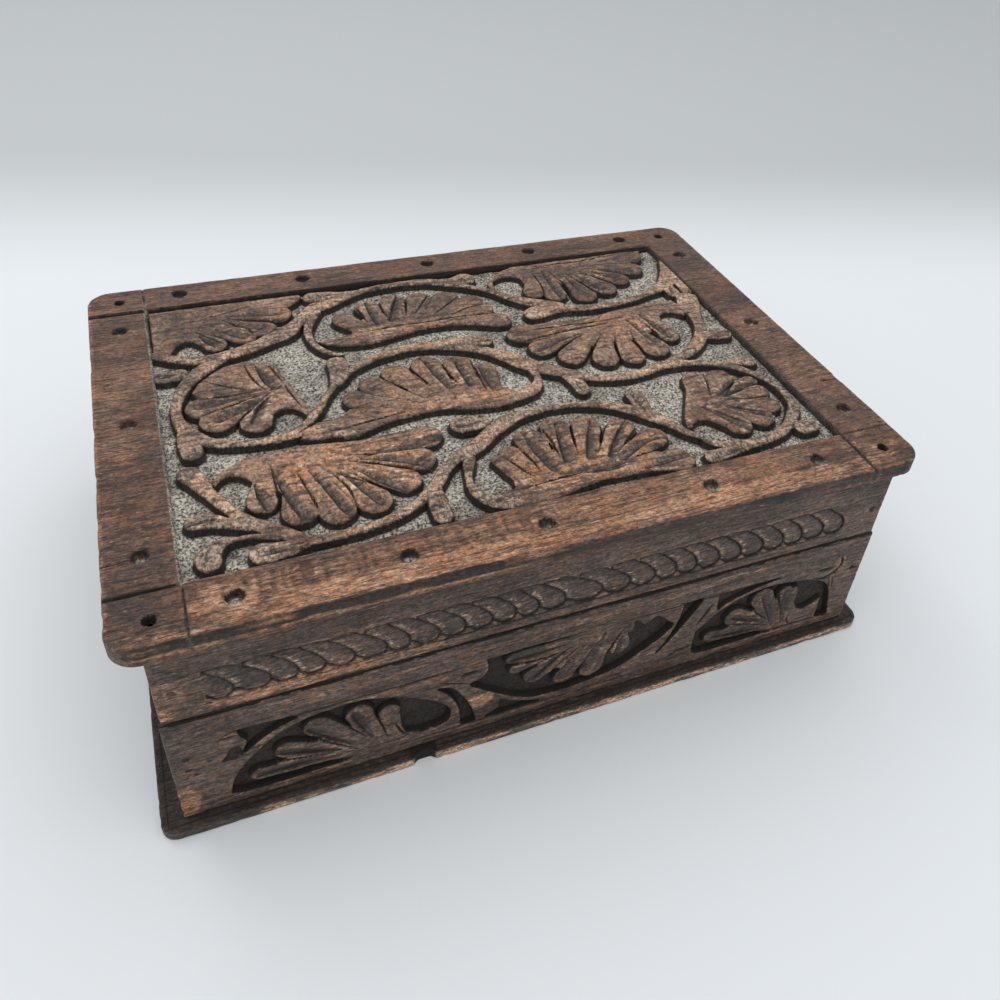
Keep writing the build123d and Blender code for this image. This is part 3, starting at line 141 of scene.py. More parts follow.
# Leaves: the outline of each blade, its lobes as (x, y, half width) at root and tip, the knife cuts between
# them, and the gouge marks down their middles.
LEAVES = {
    "back_left_leaf": {
        "blade": [
            (-104.6, 69.4), (-104.6, 39), (-99.6, 37.5), (-98.8, 41), (-97, 45), (-94, 47), (-91.3, 46.1),
            (-89.4, 43.4), (-85, 48), (-78, 53), (-68, 56), (-58, 60), (-55.6, 61), (-52.6, 63.4), (-49.6, 66.8),
            (-50, 69.4),
        ],
        "lobes": [
            ((-84, 60, 5), (-60.4, 57.4, 5.3)), ((-84, 56, 3), (-66.6, 48.6, 4.6)),
            ((-86, 54, 2.5), (-74, 44.8, 4.3)), ((-90, 50.4, 2), (-84.2, 42.2, 3.9)),
        ],
        "cuts": [
            [(-94, 58.4), (-86, 60), (-78, 62), (-69, 64.8)], [(-78, 57.4), (-69, 54.4), (-61.5, 52.4)],
            [(-80, 57), (-75, 52), (-71.6, 48), (-70.4, 44)], [(-90, 51.6), (-85.4, 46.4), (-81, 41.2)],
        ],
        "gouges": [],
    },
    "back_shell": {
        "blade": [
            (-50, 34.2), (-47, 31.6), (-43, 29.7), (-38, 28.7), (-33, 28.2), (-28, 28.8), (-23, 30), (-18, 31.3),
            (-13, 32.3), (-8, 32.9), (-3, 32.9), (2, 32.2), (7, 31), (12, 29.3), (17, 27.3), (20.6, 26.5),
            (22.6, 28.4), (23.5, 31.4), (21.6, 35.4), (12, 39), (0, 44), (-10, 47), (-20, 48), (-30, 46), (-36, 40),
            (-37, 36.6), (-43, 34.8),
        ],
        "lobes": [
            ((-33, 37, 2), (-37.6, 46.6, 4.3)), ((-24, 38, 2), (-27.2, 53.2, 4.7)),
            ((-19, 38, 2), (-16.7, 54.2, 5.3)), ((-14, 38, 2), (-6.2, 54, 4.9)), ((-8, 38, 2), (4, 52, 5.2)),
            ((-3, 38, 2), (12.8, 47.4, 4.6)), ((0, 37, 2), (15.2, 40.2, 4.2)), ((4, 34.6, 2.4), (18.4, 31.6, 4.9)),
        ],
        "cuts": [
            [(-31.6, 55), (-30.6, 50), (-29.6, 42)], [(-22.2, 56), (-22, 48), (-21, 42)],
            [(-11, 56.4), (-13, 49), (-14.5, 43)], [(-1.6, 56.4), (-7, 49), (-11, 43)],
            [(9.6, 52), (2, 46), (-4, 41)], [(18, 44), (9, 42), (2, 38.6)],
            [(20, 36), (8, 36.6), (-6, 36.8), (-20, 36.6), (-34, 36)],
        ],
        "gouges": [[(-27, 58), (-25.5, 41)], [(-14, 58), (-20, 42)]],
    },
    "back_right_leaf": {
        "blade": [
            (23.4, 54), (23.6, 58), (27.4, 62.6), (31.6, 66.6), (38, 69.4), (99, 69.4), (97.4, 64), (90, 60),
            (80, 57), (70, 54), (60, 50), (50, 51), (43, 49), (38.6, 56), (38.2, 59), (36.6, 61.2), (33.5, 62.3),
            (30, 61.8), (27, 60.2), (25.8, 57.4), (25.6, 53.4), (27.4, 49), (24.6, 49.4),
        ],
        "lobes": [
            ((46, 62, 3), (39.8, 47.6, 4.2)), ((51, 60, 2), (47.8, 43.6, 4.6)), ((57, 58, 2), (59.2, 40.2, 5)),
            ((62, 58, 2), (69.6, 43.4, 5)), ((67, 60, 2), (78.8, 48.8, 4.6)), ((72, 62, 2), (88, 55.2, 4.9)),
            ((78, 66, 3), (92.4, 65.2, 4.8)),
        ],
        "cuts": [
            [(44.4, 62), (44.6, 52), (43.4, 45)], [(52, 61), (54.4, 50), (54.4, 42)], [(58, 59), (61, 50), (64, 41)],
            [(64, 58), (70, 51), (74.4, 44.4)], [(68, 60), (77, 55), (84, 51)], [(72, 61.4), (82, 60.6), (92, 58.6)],
            [(48, 66.6), (62, 66.4), (76, 67), (90, 68.8)],
        ],
        "gouges": [
            [(49.5, 62), (49.5, 42)], [(57, 54), (60, 40)], [(62, 55), (68, 43)], [(70, 56), (78, 49)],
            [(74, 58), (86, 54)],
        ],
    },
    "left_leaf": {
        "blade": [
            (-95, 14.4), (-92.4, 19.6), (-88, 24.2), (-83, 27.6), (-77, 28.4), (-70, 27), (-67, 22.6), (-64.2, 12),
            (-61.4, 1), (-59.2, -5), (-60, -8.6), (-61.6, -8.4), (-62.6, -5), (-65, -2.2), (-68, -1.4), (-71, -3),
            (-74, -3), (-84, 2), (-92, 9),
        ],
        "lobes": [
            ((-74, 9, 2), (-92.6, 6, 5.2)), ((-73, 7.6, 1.6), (-88.6, -2, 5.6)), ((-71, 6.4, 1.6), (-77.4, -6.2, 5)),
        ],
        "cuts": [
            [(-95, 10.6), (-85, 9.8), (-73.4, 9.6)], [(-93, 1.4), (-82, 4.6), (-72, 8.4)],
            [(-83.6, -5.6), (-78, 0.6), (-71, 7.6)], [(-76.6, 26.2), (-75, 17), (-71.4, 9)],
            [(-71.4, 9), (-68.6, 9.8), (-65.8, 11.8)], [(-69.4, 26.8), (-67.4, 19), (-65.6, 11.6)],
            [(-65.6, 11.6), (-64.4, 5), (-62.2, -3)], [(-90, 20), (-82, 14), (-74, 10)],
        ],
        "gouges": [
            [(-72, 8.6), (-82, 8), (-93, 6.4)], [(-72.4, 6.6), (-80, 2), (-88, -2)],
            [(-71.6, 5), (-75, 0), (-77.6, -6)], [(-72.6, 24), (-70.6, 16), (-68.6, 11)],
        ],
    },
    "middle_shell": {
        "blade": [
            (-66, -18.8), (-60, -20.8), (-54, -21), (-52, -23.2), (-48, -22.5), (-44, -20.5), (-40, -19), (-35, -18),
            (-30, -17.3), (-25, -16.7), (-20, -16.8), (-15, -17.5), (-10, -19), (-5, -20), (0, -20.4), (5, -20),
            (10, -18.8), (12, -14), (8, -13.8), (4.6, -10), (5, -4), (-6, -1), (-18, -1), (-30, -4), (-42, -9),
            (-48, -8), (-52, -12), (-60, -12),
        ],
        "lobes": [
            ((-30, -10, 2), (-44.4, -3.4, 4.6)), ((-25, -10, 2), (-37.4, 3, 4.8)), ((-19, -10, 2), (-28.2, 8, 5)),
            ((-13, -11, 2), (-16.8, 9.4, 5.4)), ((-5.5, -11, 2), (-5.8, 7, 5.2)), ((1.4, -12, 2.4), (2.6, 1.6, 3.8)),
        ],
        "cuts": [
            [(-42.4, 1), (-38.4, -3), (-31, -7.6)], [(-34.4, 6.4), (-31, 1), (-27, -4), (-23, -9)],
            [(-23.2, 9.6), (-22, 3), (-18.6, -4)], [(-11.2, 12), (-10.8, 2), (-8.8, -7)],
            [(-0.8, 8), (-1, 0), (-1.2, -12)], [(-54, -18.2), (-45, -16.8), (-38, -15.8), (-30, -14.8)],
            [(-66.4, -16.6), (-60.2, -12), (-57.2, -8)],
        ],
        "gouges": [[(-17.5, 13.5), (-15, 5), (-12.5, -5)], [(-6.5, 11), (-5.5, 2), (-5, -6)], [(1, 5), (2, -10)]],
    },
    "right_leaf": {
        "blade": [
            (17.6, 19.6), (19, 22.2), (22.6, 26), (30, 24.4), (45, 23.6), (58, 23.8), (66, 25.8), (80, 27), (92, 27),
            (94, 18), (91.4, 14.8), (88, 18.2), (84, 18.8), (81.2, 17), (80.4, 14), (74, 8), (60, 4), (48, 4),
            (38, 8), (28, 13), (20, 14.8),
        ],
        "lobes": [
            ((45, 19.6, 4), (22.4, 19, 4.7)), ((46, 14, 2), (27.2, 8.8, 4.7)), ((50, 13, 2), (36, 0.8, 5.1)),
            ((55, 13, 2), (47.6, -4, 5)), ((60, 13, 2), (58, -5.6, 4.6)), ((66, 14, 2), (69, -2.8, 5.3)),
            ((75, 18, 2.6), (78.2, 4.4, 4.7)),
        ],
        "cuts": [
            [(22, 14), (34, 15.6), (48, 16.8), (62, 17)], [(31, 4.4), (36.6, 8), (46, 12.4)],
            [(41.6, -3.6), (45, 2), (52, 10)], [(52.8, -5), (54, 1), (57.6, 9)], [(62.4, -6.4), (63.2, 1), (64.2, 9)],
            [(74, 0), (73.4, 8), (71.6, 17)], [(20, 20.6), (36, 20), (52, 19.4), (66, 19.4)],
        ],
        "gouges": [[(67, 17), (69.5, 6), (71, 1)], [(74, 19), (76.5, 8), (78, 3)], [(43, 13), (34, 11), (26, 8)]],
    },
    "front_left_leaf": {
        "blade": [
            (-93.6, -31), (-91, -27.6), (-86, -24.5), (-80, -22.7), (-73, -22.2), (-66, -22), (-60, -23),
            (-52, -24.3), (-45, -25), (-38, -24.3), (-32, -23.9), (-30, -30), (-40, -34), (-50, -38), (-60, -42),
            (-72, -42), (-79, -40), (-82, -35.4), (-84, -32.6), (-86.4, -30.6), (-88.6, -29.8), (-91.4, -30.8),
            (-93.4, -33.6),
        ],
        "lobes": [
            ((-55, -28, 3), (-28, -28.8, 5)), ((-57, -31, 1.6), (-33, -38.6, 4.9)),
            ((-59, -33, 1.6), (-40, -46.8, 4.9)), ((-62, -33, 1.6), (-50.8, -52.8, 5.2)),
            ((-66, -32, 1.6), (-61.8, -53.7, 5.3)), ((-71, -31, 1.8), (-72, -51, 5.2)),
            ((-78.6, -30, 2.2), (-81.4, -43.8, 4.4)),
        ],
        "cuts": [
            [(-55, -31), (-42, -33.4), (-29.6, -33.8)], [(-54, -34), (-44, -38.6), (-36, -43)],
            [(-59.4, -38), (-52, -44), (-45.4, -49)], [(-60, -38), (-57, -46), (-56, -54)],
            [(-70, -34), (-68.4, -42), (-66.8, -52)], [(-76.6, -29), (-76.6, -38), (-77, -47.6)],
        ],
        "gouges": [
            [(-50, -33), (-30, -31), (-24, -30)], [(-50, -34), (-40, -37), (-31, -42)],
            [(-53, -38), (-46, -45), (-41, -50)], [(-57, -39), (-52, -48), (-49, -54)],
            [(-66, -35), (-62, -45), (-59, -55)], [(-76, -32), (-74, -42), (-71, -53)], [(-82, -37), (-80, -46)],
        ],
    },
    "front_shell": {
        "blade": [
            (-19, -65.4), (-15, -68), (-10, -68.8), (-3, -68.8), (2, -68.6), (6, -67.3), (10, -66), (15, -65.3),
            (20, -65), (25, -65.2), (30, -65.5), (35, -65.7), (39, -66.7), (43, -68), (44, -60), (38, -56), (30, -50),
            (22, -47), (12, -46), (2, -48), (-4, -52), (-9, -56), (-9.6, -60.4), (-13, -61.4), (-16, -61.2),
        ],
        "lobes": [
            ((-5, -61, 2.4), (-9.6, -47, 2.8)), ((-1.4, -60, 1.6), (-5.2, -45.3, 4)), ((4.6, -58, 2), (3, -40, 5.2)),
            ((11.5, -58, 2), (13.2, -36.8, 5)), ((16, -58, 2), (23.6, -38.8, 4.9)),
            ((20, -58, 2), (34.3, -43.3, 4.8)), ((24, -59, 2), (42.5, -50.8, 4.8)),
            ((26, -60.6, 2.4), (45.4, -63.4, 5.1)),
        ],
        "cuts": [
            [(-9.4, -44), (-6, -51), (-2, -59)], [(-3, -41), (-0.4, -49), (0.6, -57)],
            [(8.5, -35.4), (9.2, -42), (8.8, -52)], [(18.4, -37), (16.4, -45), (15, -52)],
            [(29, -39.6), (26.6, -45), (21.4, -53)], [(40, -44), (35, -48.4), (27, -55)],
            [(47, -55.4), (38, -57.4), (28, -59)], [(-8, -62), (4, -60.6), (14, -60.2), (26, -60)],
        ],
        "gouges": [
            [(2, -36), (3, -45), (5, -55.5)], [(14, -36), (12.5, -45), (11, -53)],
            [(25.5, -38), (22, -46), (18.5, -54)], [(37, -41), (31, -48), (25.5, -55.5)],
            [(43, -52), (36, -53), (28, -57)], [(33, -64), (49, -61.5)], [(6, -58.6), (16, -59.6), (25, -60.2)],
        ],
    },
    "front_right_leaf": {
        "blade": [
            (56, -50), (57.4, -45.4), (60, -40.6), (63.5, -35), (66.6, -30), (67.4, -26), (69, -23), (80, -34),
            (86, -40), (82, -47), (74, -48), (68.6, -53), (67, -50), (64.6, -47.5), (61.6, -47.3), (59, -48.4),
            (57.6, -50.4),
        ],
        "lobes": [
            ((70.4, -38, 2), (73, -26, 4.9)), ((72, -38, 2), (82.3, -27.3, 4.9)),
            ((74, -38.6, 1.6), (91.4, -32.6, 3.2)), ((74, -39, 1.6), (91.2, -39, 4)),
            ((74, -40, 1.6), (90.4, -46.4, 4.4)), ((73, -42, 1.6), (83.8, -51.8, 4.8)),
            ((69, -43, 2), (74, -53.3, 4.6)),
        ],
        "cuts": [
            [(77.4, -23.4), (75.4, -30), (72.4, -37)], [(88, -29), (82, -33), (75, -37.4)],
            [(94, -34.6), (84, -36), (76, -38)], [(95, -43), (84, -41.6), (76, -39.6)],
            [(88, -50.6), (80, -46), (74, -42)], [(79, -55.6), (74, -50), (69, -43.4)],
        ],
        "gouges": [
            [(87, -29), (77, -36.5)], [(93, -33), (78, -37)], [(67, -42), (76, -55.5)], [(75, -44), (86.5, -51.5)],
        ],
    },
}
# Gouge marks inside the buds: line, half width and depth.
BUD_GOUGES = [
    ([(-95, -47.8), (-99, -47.2), (-102.4, -47.3)], 1.5, 0.7), ([(-36, 65.2), (-41, 65.6), (-47, 65.8)], 1.8, 0.7),
    ([(46.4, -38), (46.6, -33), (47, -28)], 1.6, 0.8), ([(-74, -64), (-79, -64.6), (-85, -64.6)], 1.5, 0.6),
    ([(-9, -27), (-13, -26.8), (-17, -26.6)], 1.8, 0.7), ([(71, -64.2), (64, -65.2), (57.6, -65.8)], 1.5, 0.7),
    ([(2, 20), (6, 19.2), (10, 18.2)], 1.4, 0.6), ([(-98.4, 26.4), (-102, 26.6), (-105, 26.6)], 1.6, 0.6),
    ([(12, 64), (14.6, 64.4), (17.4, 64.8)], 2.0, 0.7), ([(96.4, 36.6), (95.8, 33), (95.6, 31)], 1.4, 0.6),
    ([(97.6, -1.2), (100.6, -1.6)], 1.6, 0.6), ([(30.6, -15), (31, -20)], 1.3, 0.5),
]

# ---- Marks on the lid's border, and worn and stained zones as (x, y, half length, half width, strength) ----

PITS = [
    (-92.8, 80.5), (-46.4, 80.5), (5.0, 80.5), (50.4, 80.5), (94.8, 80.5), (-93.3, -77.5), (-47.4, -77.5),
    (-6.5, -77.5), (48.4, -77.5), (88.8, -77.5), (-114.8, 58.8), (-114.8, 3.0), (-114.8, -55.8), (114.8, 60.8),
    (114.8, 2.5), (114.8, -56.8),
]
CORNER_NAILS = [(-114.0, 79.0), (-114.0, -79.0), (114.0, 79.0), (114.0, -79.0)]
# Grooves as (start, end, half width, share of pale dust in them).
BORDER_LINES = [
    ((-105.5, -90.0), (-105.5, -71.0), 0.5, 0.15), ((-105.5, -69.0), (-105.5, 71.0), 0.7, 0.8),
    ((-105.5, 71.0), (-105.5, 90.0), 0.5, 0.45), ((-130.0, 70.8), (103.0, 71.2), 1.15, 0.0),
    ((104.5, -90.0), (104.5, 71.0), 0.75, 0.1), ((-130.0, -69.0), (-105.5, -69.0), 0.6, 0.0),
    ((104.5, -69.0), (130.0, -69.0), 0.45, 0.1), ((-130.0, -57.4), (-117.5, -56.6), 0.35, 0.0),
    ((117.0, -40.2), (130.0, -41.0), 0.3, 0.0),
]
LID_RUBBED = [
    (-56, -37, 34, 15, 0.9), (-94, -38, 8, 14, 0.85), (-68, -64, 24, 4, 0.7), (-96, -56, 10, 4, 0.5),
    (-12, -14, 30, 6, 0.75), (-14, 0, 26, 12, 0.55), (12, 4, 14, 12, 0.75), (14, -52, 36, 13, 0.8),
    (20, -63, 30, 5, 0.85), (56, 10, 32, 14, 0.6), (60, -15, 34, 4, 0.75), (-12, 34, 34, 5, 0.65),
    (-46, 57, 16, 7, 0.8), (-20, 22, 30, 4, 0.75), (98, 34, 9, 22, 0.6), (90, -6, 12, 12, 0.7), (-80, 2, 18, 14, 0.5),
    (-74, -15, 22, 4, 0.7), (-70, 14, 8, 12, 0.6), (-16, -34, 26, 5, 0.7), (-30, -30, 10, 6, 0.9),
    (-44, -46, 9, 6, 0.9), (78, -36, 18, 14, 0.4), (50, 31, 40, 5, 0.6),
]
LID_STAINED = [
    (-82, 56, 22, 13, 0.75), (-98, -25, 6, 8, 0.95), (-98, -62, 6, 7, 0.95), (-100, -47, 5, 5, 0.7),
    (-100, 26, 6, 5, 0.95), (70, 62, 32, 8, 0.5), (52, 46, 12, 10, 0.5), (-34, -62, 5, 7, 0.9), (96, -1, 7, 4, 0.9),
    (95, -62, 7, 4, 0.9), (60, -66, 9, 3, 0.7), (31, -17, 4, 7, 0.7), (-48, 14, 5, 8, 0.7), (-30, -18, 34, 3, 0.6),
    (-8, 50, 30, 6, 0.45), (-40, -27, 22, 3, 0.5), (80, -42, 14, 10, 0.4), (-20, 46, 8, 8, 0.4), (60, 16, 8, 8, 0.3),
]
BORDER_STAINED = [
    (-116, -61, 11, 22, 0.9), (-116, -84, 12, 5, 0.7), (-20, 79, 130, 7, 0.35), (112, 60, 16, 26, 0.6),
    (-60, -76, 34, 6, 0.55), (-10, -74, 14, 5, 0.45), (52, -74, 22, 5, 0.3), (116, -60, 9, 12, 0.4),
    (-113, 20, 7, 10, 0.3), (60, 80, 40, 6, 0.45),
]
BORDER_RUBBED = [
    (56, -83.5, 66, 4.5, 1.0), (-60, -85.4, 62, 2.4, 1.0), (-96, -79, 12, 8, 0.9), (-40, -83, 70, 5, 0.9),
    (20, -76, 100, 8, 0.6), (-62, -77, 44, 8, 0.6), (-118, 0, 6, 30, 0.35), (-114, 40, 9, 24, 0.3),
    (114, -20, 9, 34, 0.4), (-50, 80, 44, 6, 0.4),
]
# The base's edge, ring by ring from its underside to its top: how far in, and z.
BASE_RINGS = [
    (0.6, 0.0), (0.1, 0.4), (0.0, 1.4), (0.0, 2.6), (0.1, 3.3), (0.4, 3.8), (0.8, 3.95), (1.3, 4.0), (1.8, 4.0),
    (2.2, 4.0), (2.6, 4.0), (3.1, 4.0), (4.5, 4.0),
]

# ---- Layout of the front faces, x to the right and z up ----

# Places where the board is cut away round the leaves and stems: the outline of each and its depth.
FRONT_GROUNDS = [
    (
        [
            (-99.2, 38), (-86, 37.5), (-82.6, 36.5), (-88, 34.3), (-94, 30.6), (-99.2, 26.2), (-97.9, 29.6),
            (-97, 32.4), (-98.8, 35.4),
        ],
        2.2,
    ),
    ([(-105.2, 25.4), (-99.8, 26), (-98.6, 28.6), (-99.8, 30.8), (-101.6, 30.2)], 0.8),
    (
        [
            (-103.8, 9.2), (-102.8, 14.4), (-100, 19.8), (-96, 24.4), (-91, 29.4), (-84, 33), (-78, 34.8),
            (-70, 35.6), (-64, 35.4), (-58, 33.6), (-52, 31), (-46, 27.4), (-41, 23.8), (-38, 20.2), (-36.8, 17),
            (-38, 13.6), (-42, 11.8), (-48, 11.4), (-60, 10), (-70, 8.4), (-86, 8), (-99, 8.2),
        ],
        2.6,
    ),
    (
        [
            (-41.4, 30.4), (-37, 24.8), (-34.8, 19.6), (-33.9, 14), (-33.4, 9), (-28.6, 8.8), (-29.4, 13.4),
            (-31, 18.6), (-33.2, 23.4), (-36.6, 28.6),
        ],
        2.4,
    ),
    ([(-20.6, 15.8), (-14, 12.2), (-8, 9.6), (-5, 8.8), (-24.8, 8.6), (-21.2, 11.6)], 2.0),
    (
        [
            (-25.8, 37.9), (12, 38), (25, 36.4), (29.6, 32.8), (33.4, 35.4), (38, 31.6), (40.8, 28.8), (39.2, 26.4),
            (35.6, 23), (30, 19.2), (24, 15.4), (18, 13.4), (10, 11.8), (0, 11.2), (-6, 11.8), (-12, 13.4),
            (-17.6, 16.8), (-22, 20.2), (-27, 24.2), (-31, 28.2), (-27, 29.8), (-25.2, 33),
        ],
        2.6,
    ),
    (
        [
            (43.4, 37.5), (50.6, 37.5), (48.2, 32.4), (45.2, 27.4), (41.6, 22), (36, 15.2), (39, 20.4), (41, 25),
            (42.6, 31),
        ],
        2.6,
    ),
    ([(57, 37.5), (81, 37.2), (75, 36), (70, 34.8), (64, 33), (59.6, 30.8), (57.6, 29.4)], 1.7),
    (
        [
            (50.6, 20.6), (54, 23.4), (58, 27.6), (61, 29.6), (66, 31.6), (72, 33.2), (80, 33.8), (88, 32.8),
            (96, 31), (101, 28.8), (104.8, 25.8), (106.8, 21.6), (108.2, 15.6), (109.6, 8.4), (105.2, 8.4),
            (104, 8.8), (90, 8.4), (82, 8.4), (66, 8.2), (54, 8.6), (51, 11.4),
        ],
        2.6,
    ),
]
FRONT_LEAVES = [
    {
        "blade": [
            (-97, 11.4), (-87, 11.4), (-78, 11), (-70, 8.6), (-66, 7.6), (-34, 7.6), (-35.4, 13), (-40, 12.2),
            (-46, 11.4), (-51, 12.8), (-52.6, 17), (-53, 24), (-62, 24), (-72, 24), (-84, 20), (-90, 16.6),
        ],
        "lobes": [
            ((-68, 11.6, 2), (-95.2, 14, 2.6)), ((-64, 12, 2), (-86.8, 21.8, 3.4)),
            ((-62, 12.6, 2), (-77.4, 28.4, 4.2)), ((-60, 13, 2), (-65.2, 28.8, 4.1)),
            ((-56.6, 13, 2), (-56.2, 25.6, 3.2)),
        ],
        "cuts": [
            [(-93, 18.4), (-84, 16.6), (-75, 14.4)], [(-88, 20), (-81, 17.6), (-74, 14.8)],
            [(-82.4, 27.6), (-75, 20), (-66, 12.4)], [(-70.6, 29.6), (-68, 23.4), (-63.6, 17.6)],
            [(-60.8, 28), (-58.8, 21), (-57.2, 14.6)], [(-54.8, 20), (-52.6, 14), (-50, 11)],
        ],
        "gouges": [
            [(-74, 12.4), (-84, 13.8), (-94, 14.4)], [(-68, 16), (-74, 22), (-79, 28)],
            [(-62, 17), (-64, 23), (-66, 29)], [(-72, 15), (-80, 18.6), (-88, 21.6)],
        ],
    },
    {
        "blade": [
            (-14, 37), (-9, 33), (-8, 26), (0, 22), (10, 22), (20, 26), (25.4, 31), (26, 39), (12, 39.6), (2, 36.6),
        ],
        "lobes": [
            ((6, 35.2, 2.4), (-16.8, 34, 2.5)), ((7, 33.6, 1.8), (-15.4, 28.8, 2.4)),
            ((10, 33, 1.8), (-8.8, 22.8, 3.8)), ((13, 33, 1.8), (1.6, 17.8, 3.6)), ((17, 33, 1.8), (11.6, 17.6, 4)),
            ((21, 34, 2), (21.4, 24.6, 3.6)),
        ],
        "cuts": [
            [(-19, 31.4), (-8, 30.8), (4, 32)], [(-15, 26.6), (-7, 29.4), (3, 32.4)],
            [(-5, 19.8), (-1, 25), (5.6, 31)], [(6.6, 15.6), (8, 22), (12.6, 31.6)],
            [(16.4, 19.4), (18.4, 27), (22, 34.6)], [(-2, 24), (2, 28), (7, 32)],
        ],
        "gouges": [
            [(7.6, 31), (4.4, 25.4), (1.2, 19)], [(14.8, 34), (12.4, 27.4), (10, 19.6)],
            [(23.8, 35), (22.6, 29.4), (21.2, 23)], [(1.4, 31.4), (-4, 27.4), (-9.4, 22.4)],
            [(0, 34.4), (-8, 34), (-16, 34.2)],
        ],
    },
    {
        "blade": [
            (58, 11.6), (66, 11.6), (74, 11), (82, 8.6), (86, 7.6), (104.4, 7.6), (104.2, 18.8), (100, 16),
            (97, 15.2), (94, 16.8), (92.2, 20.6), (92.4, 26), (84, 25), (72, 22), (62, 16),
        ],
        "lobes": [
            ((84, 11.4, 2), (58, 14.8, 2.5)), ((85, 12, 2), (66.8, 22, 4.1)), ((86, 12.6, 2), (76.8, 28, 4.5)),
            ((87, 13, 2), (86.4, 27.6, 3)), ((89, 13, 2), (90, 26.8, 2.2)),
        ],
        "cuts": [
            [(61.6, 19.8), (70, 17.4), (82, 12.8)], [(71.6, 27.6), (75, 22), (81.4, 15.6)],
            [(82.4, 31), (84, 26), (86.6, 18.4)], [(90.4, 13.6), (91.4, 11), (92.6, 9)],
            [(62.4, 22.4), (62.8, 19.6), (64, 17.6)],
        ],
        "gouges": [
            [(83, 15), (80.6, 22), (78, 28.6)], [(88.6, 12), (87.8, 20), (87.6, 27.6)],
            [(78, 12.4), (70, 13.4), (60, 15)], [(80, 15), (74, 18.6), (67, 22)],
        ],
    },
]
# Knife cuts: line, half width and depth.
FRONT_CUTS = [
    ([(-86, 37.7), (-56, 37.5), (-26, 37.7)], 0.45, 0.7), ([(12, 37.8), (50, 37.6), (90, 37.2)], 0.4, 0.5),
    ([(-70, 8.3), (-10, 8.2), (50, 8.4)], 0.45, 0.6), ([(82, 8.5), (96, 8.4), (110, 8)], 0.45, 0.6),
    ([(-104.6, 36), (-102, 36), (-99.6, 36.2)], 0.7, 1.0), ([(-104, 36.6), (-101.4, 38), (-99.4, 38.6)], 0.4, 0.6),
    ([(-40.4, 33), (-36, 31), (-32, 29.6)], 0.5, 0.8), ([(-33.6, 33.4), (-31, 33.6), (-28.2, 33.6)], 1.3, 0.8),
    ([(50.6, 25), (53, 29), (55.4, 34)], 1.0, 0.7), ([(42, 12.2), (45.6, 13.4), (50, 13.8)], 0.9, 0.8),
    ([(107.2, 39), (108.2, 36), (106.6, 33), (104, 31), (100.6, 30.2), (97.2, 31.8)], 0.95, 1.3),
    ([(98.2, 35.4), (101, 34.7), (104.4, 35)], 1.2, 0.6), ([(104, 30.2), (105.4, 26), (106.2, 22)], 0.35, 0.5),
    ([(105.6, 30), (106.6, 27), (107.2, 24)], 0.35, 0.5), ([(111, 31), (114, 31.9), (117.8, 31)], 0.4, 0.5),
    ([(-114.4, 26.4), (-113, 26.5), (-111.6, 26.2)], 0.5, 0.5), ([(-112.4, 23.6), (-110.6, 23.3)], 0.5, 0.5),
    ([(-108, 28), (-106.8, 28.2)], 0.5, 0.5), ([(93, 20), (95, 17.4), (98.6, 16.4), (102, 17.6)], 0.5, 0.5),
]
# Right ends of the scales along the lid's front rail.
SCALE_ENDS = [
    -98.5, -89, -81.5, -74, -66, -57, -50, -41.5, -33.5, -25.5, -17.8, -10.5, -2, 10, 19.8, 28.8, 36.5, 44, 52.3,
    60.4, 69, 77, 84.6, 93, 101.3,
]
# The outline of one scale: x from its right-hand end for a scale 8 wide, and z.
SCALE_SHAPE = [
    (-14, 65.6), (-8, 65.8), (-5.2, 63.9), (-2.4, 61.8), (-0.2, 59.4), (0.8, 57.2), (0.9, 55.4), (0.2, 54),
    (-1.4, 53), (-3.4, 52.8), (-5.2, 53.5), (-6.6, 55), (-14, 57), (-14, 65.6),
]
# Nail holes near both ends of each face.
STOPPED_NAILS = {
    "lid": (113.0, 60.2),
    "box": (113.5, 31.8),
}
# The long band along the rail's lower edge is a painted highlight on its rounded edge; the other zones are worn wood.
RAIL_RUBBED_AND_LIT = [(-78, 52, 42, 3.4, 0.9), (-114, 58, 5, 9, 0.5), (0, 49.6, 120, 1.2, 0.4), (-104, 61, 12, 6, 0.3)]
# The long band near the board's top is a painted highlight along its upper strip; the other zones are worn wood.
FRONT_RUBBED_AND_LIT = [
    (-115, 13, 3.6, 9, 0.8), (-27, 19, 5, 4, 0.9), (-10, 43.6, 110, 1.8, 0.45), (66, 45, 12, 1.2, 0.7),
    (8, 28, 24, 9, 0.3), (84, 18, 24, 9, 0.25), (-56, 35, 26, 2, 0.5), (30, 17, 16, 4, 0.3),
]


# ---- Noise and carving strokes ----

def mix(a, b, share):
    return a * (1 - share) + b * share


def ramp(value, start, end):
    """0 at start, 1 at end, smooth between."""
    t = np.clip((value - start) / (end - start), 0, 1)
    return t * t * (3 - 2 * t)


def smooth_noise(x, y, size, seed):
    """Smooth noise from -1 to 1 whose lumps are about size across."""
    cells = 128
    table = np.random.default_rng(seed).uniform(-1, 1, (cells, cells))
    u, v = x / size + 500.3, y / size + 500.7
    i, j = np.floor(u).astype(int), np.floor(v).astype(int)
    s, t = u - i, v - j
    s, t = s * s * (3 - 2 * s), t * t * (3 - 2 * t)
    i, j = i % cells, j % cells
    k, m = (i + 1) % cells, (j + 1) % cells
    return mix(mix(table[i, j], table[k, j], s), mix(table[i, m], table[k, m], s), t)


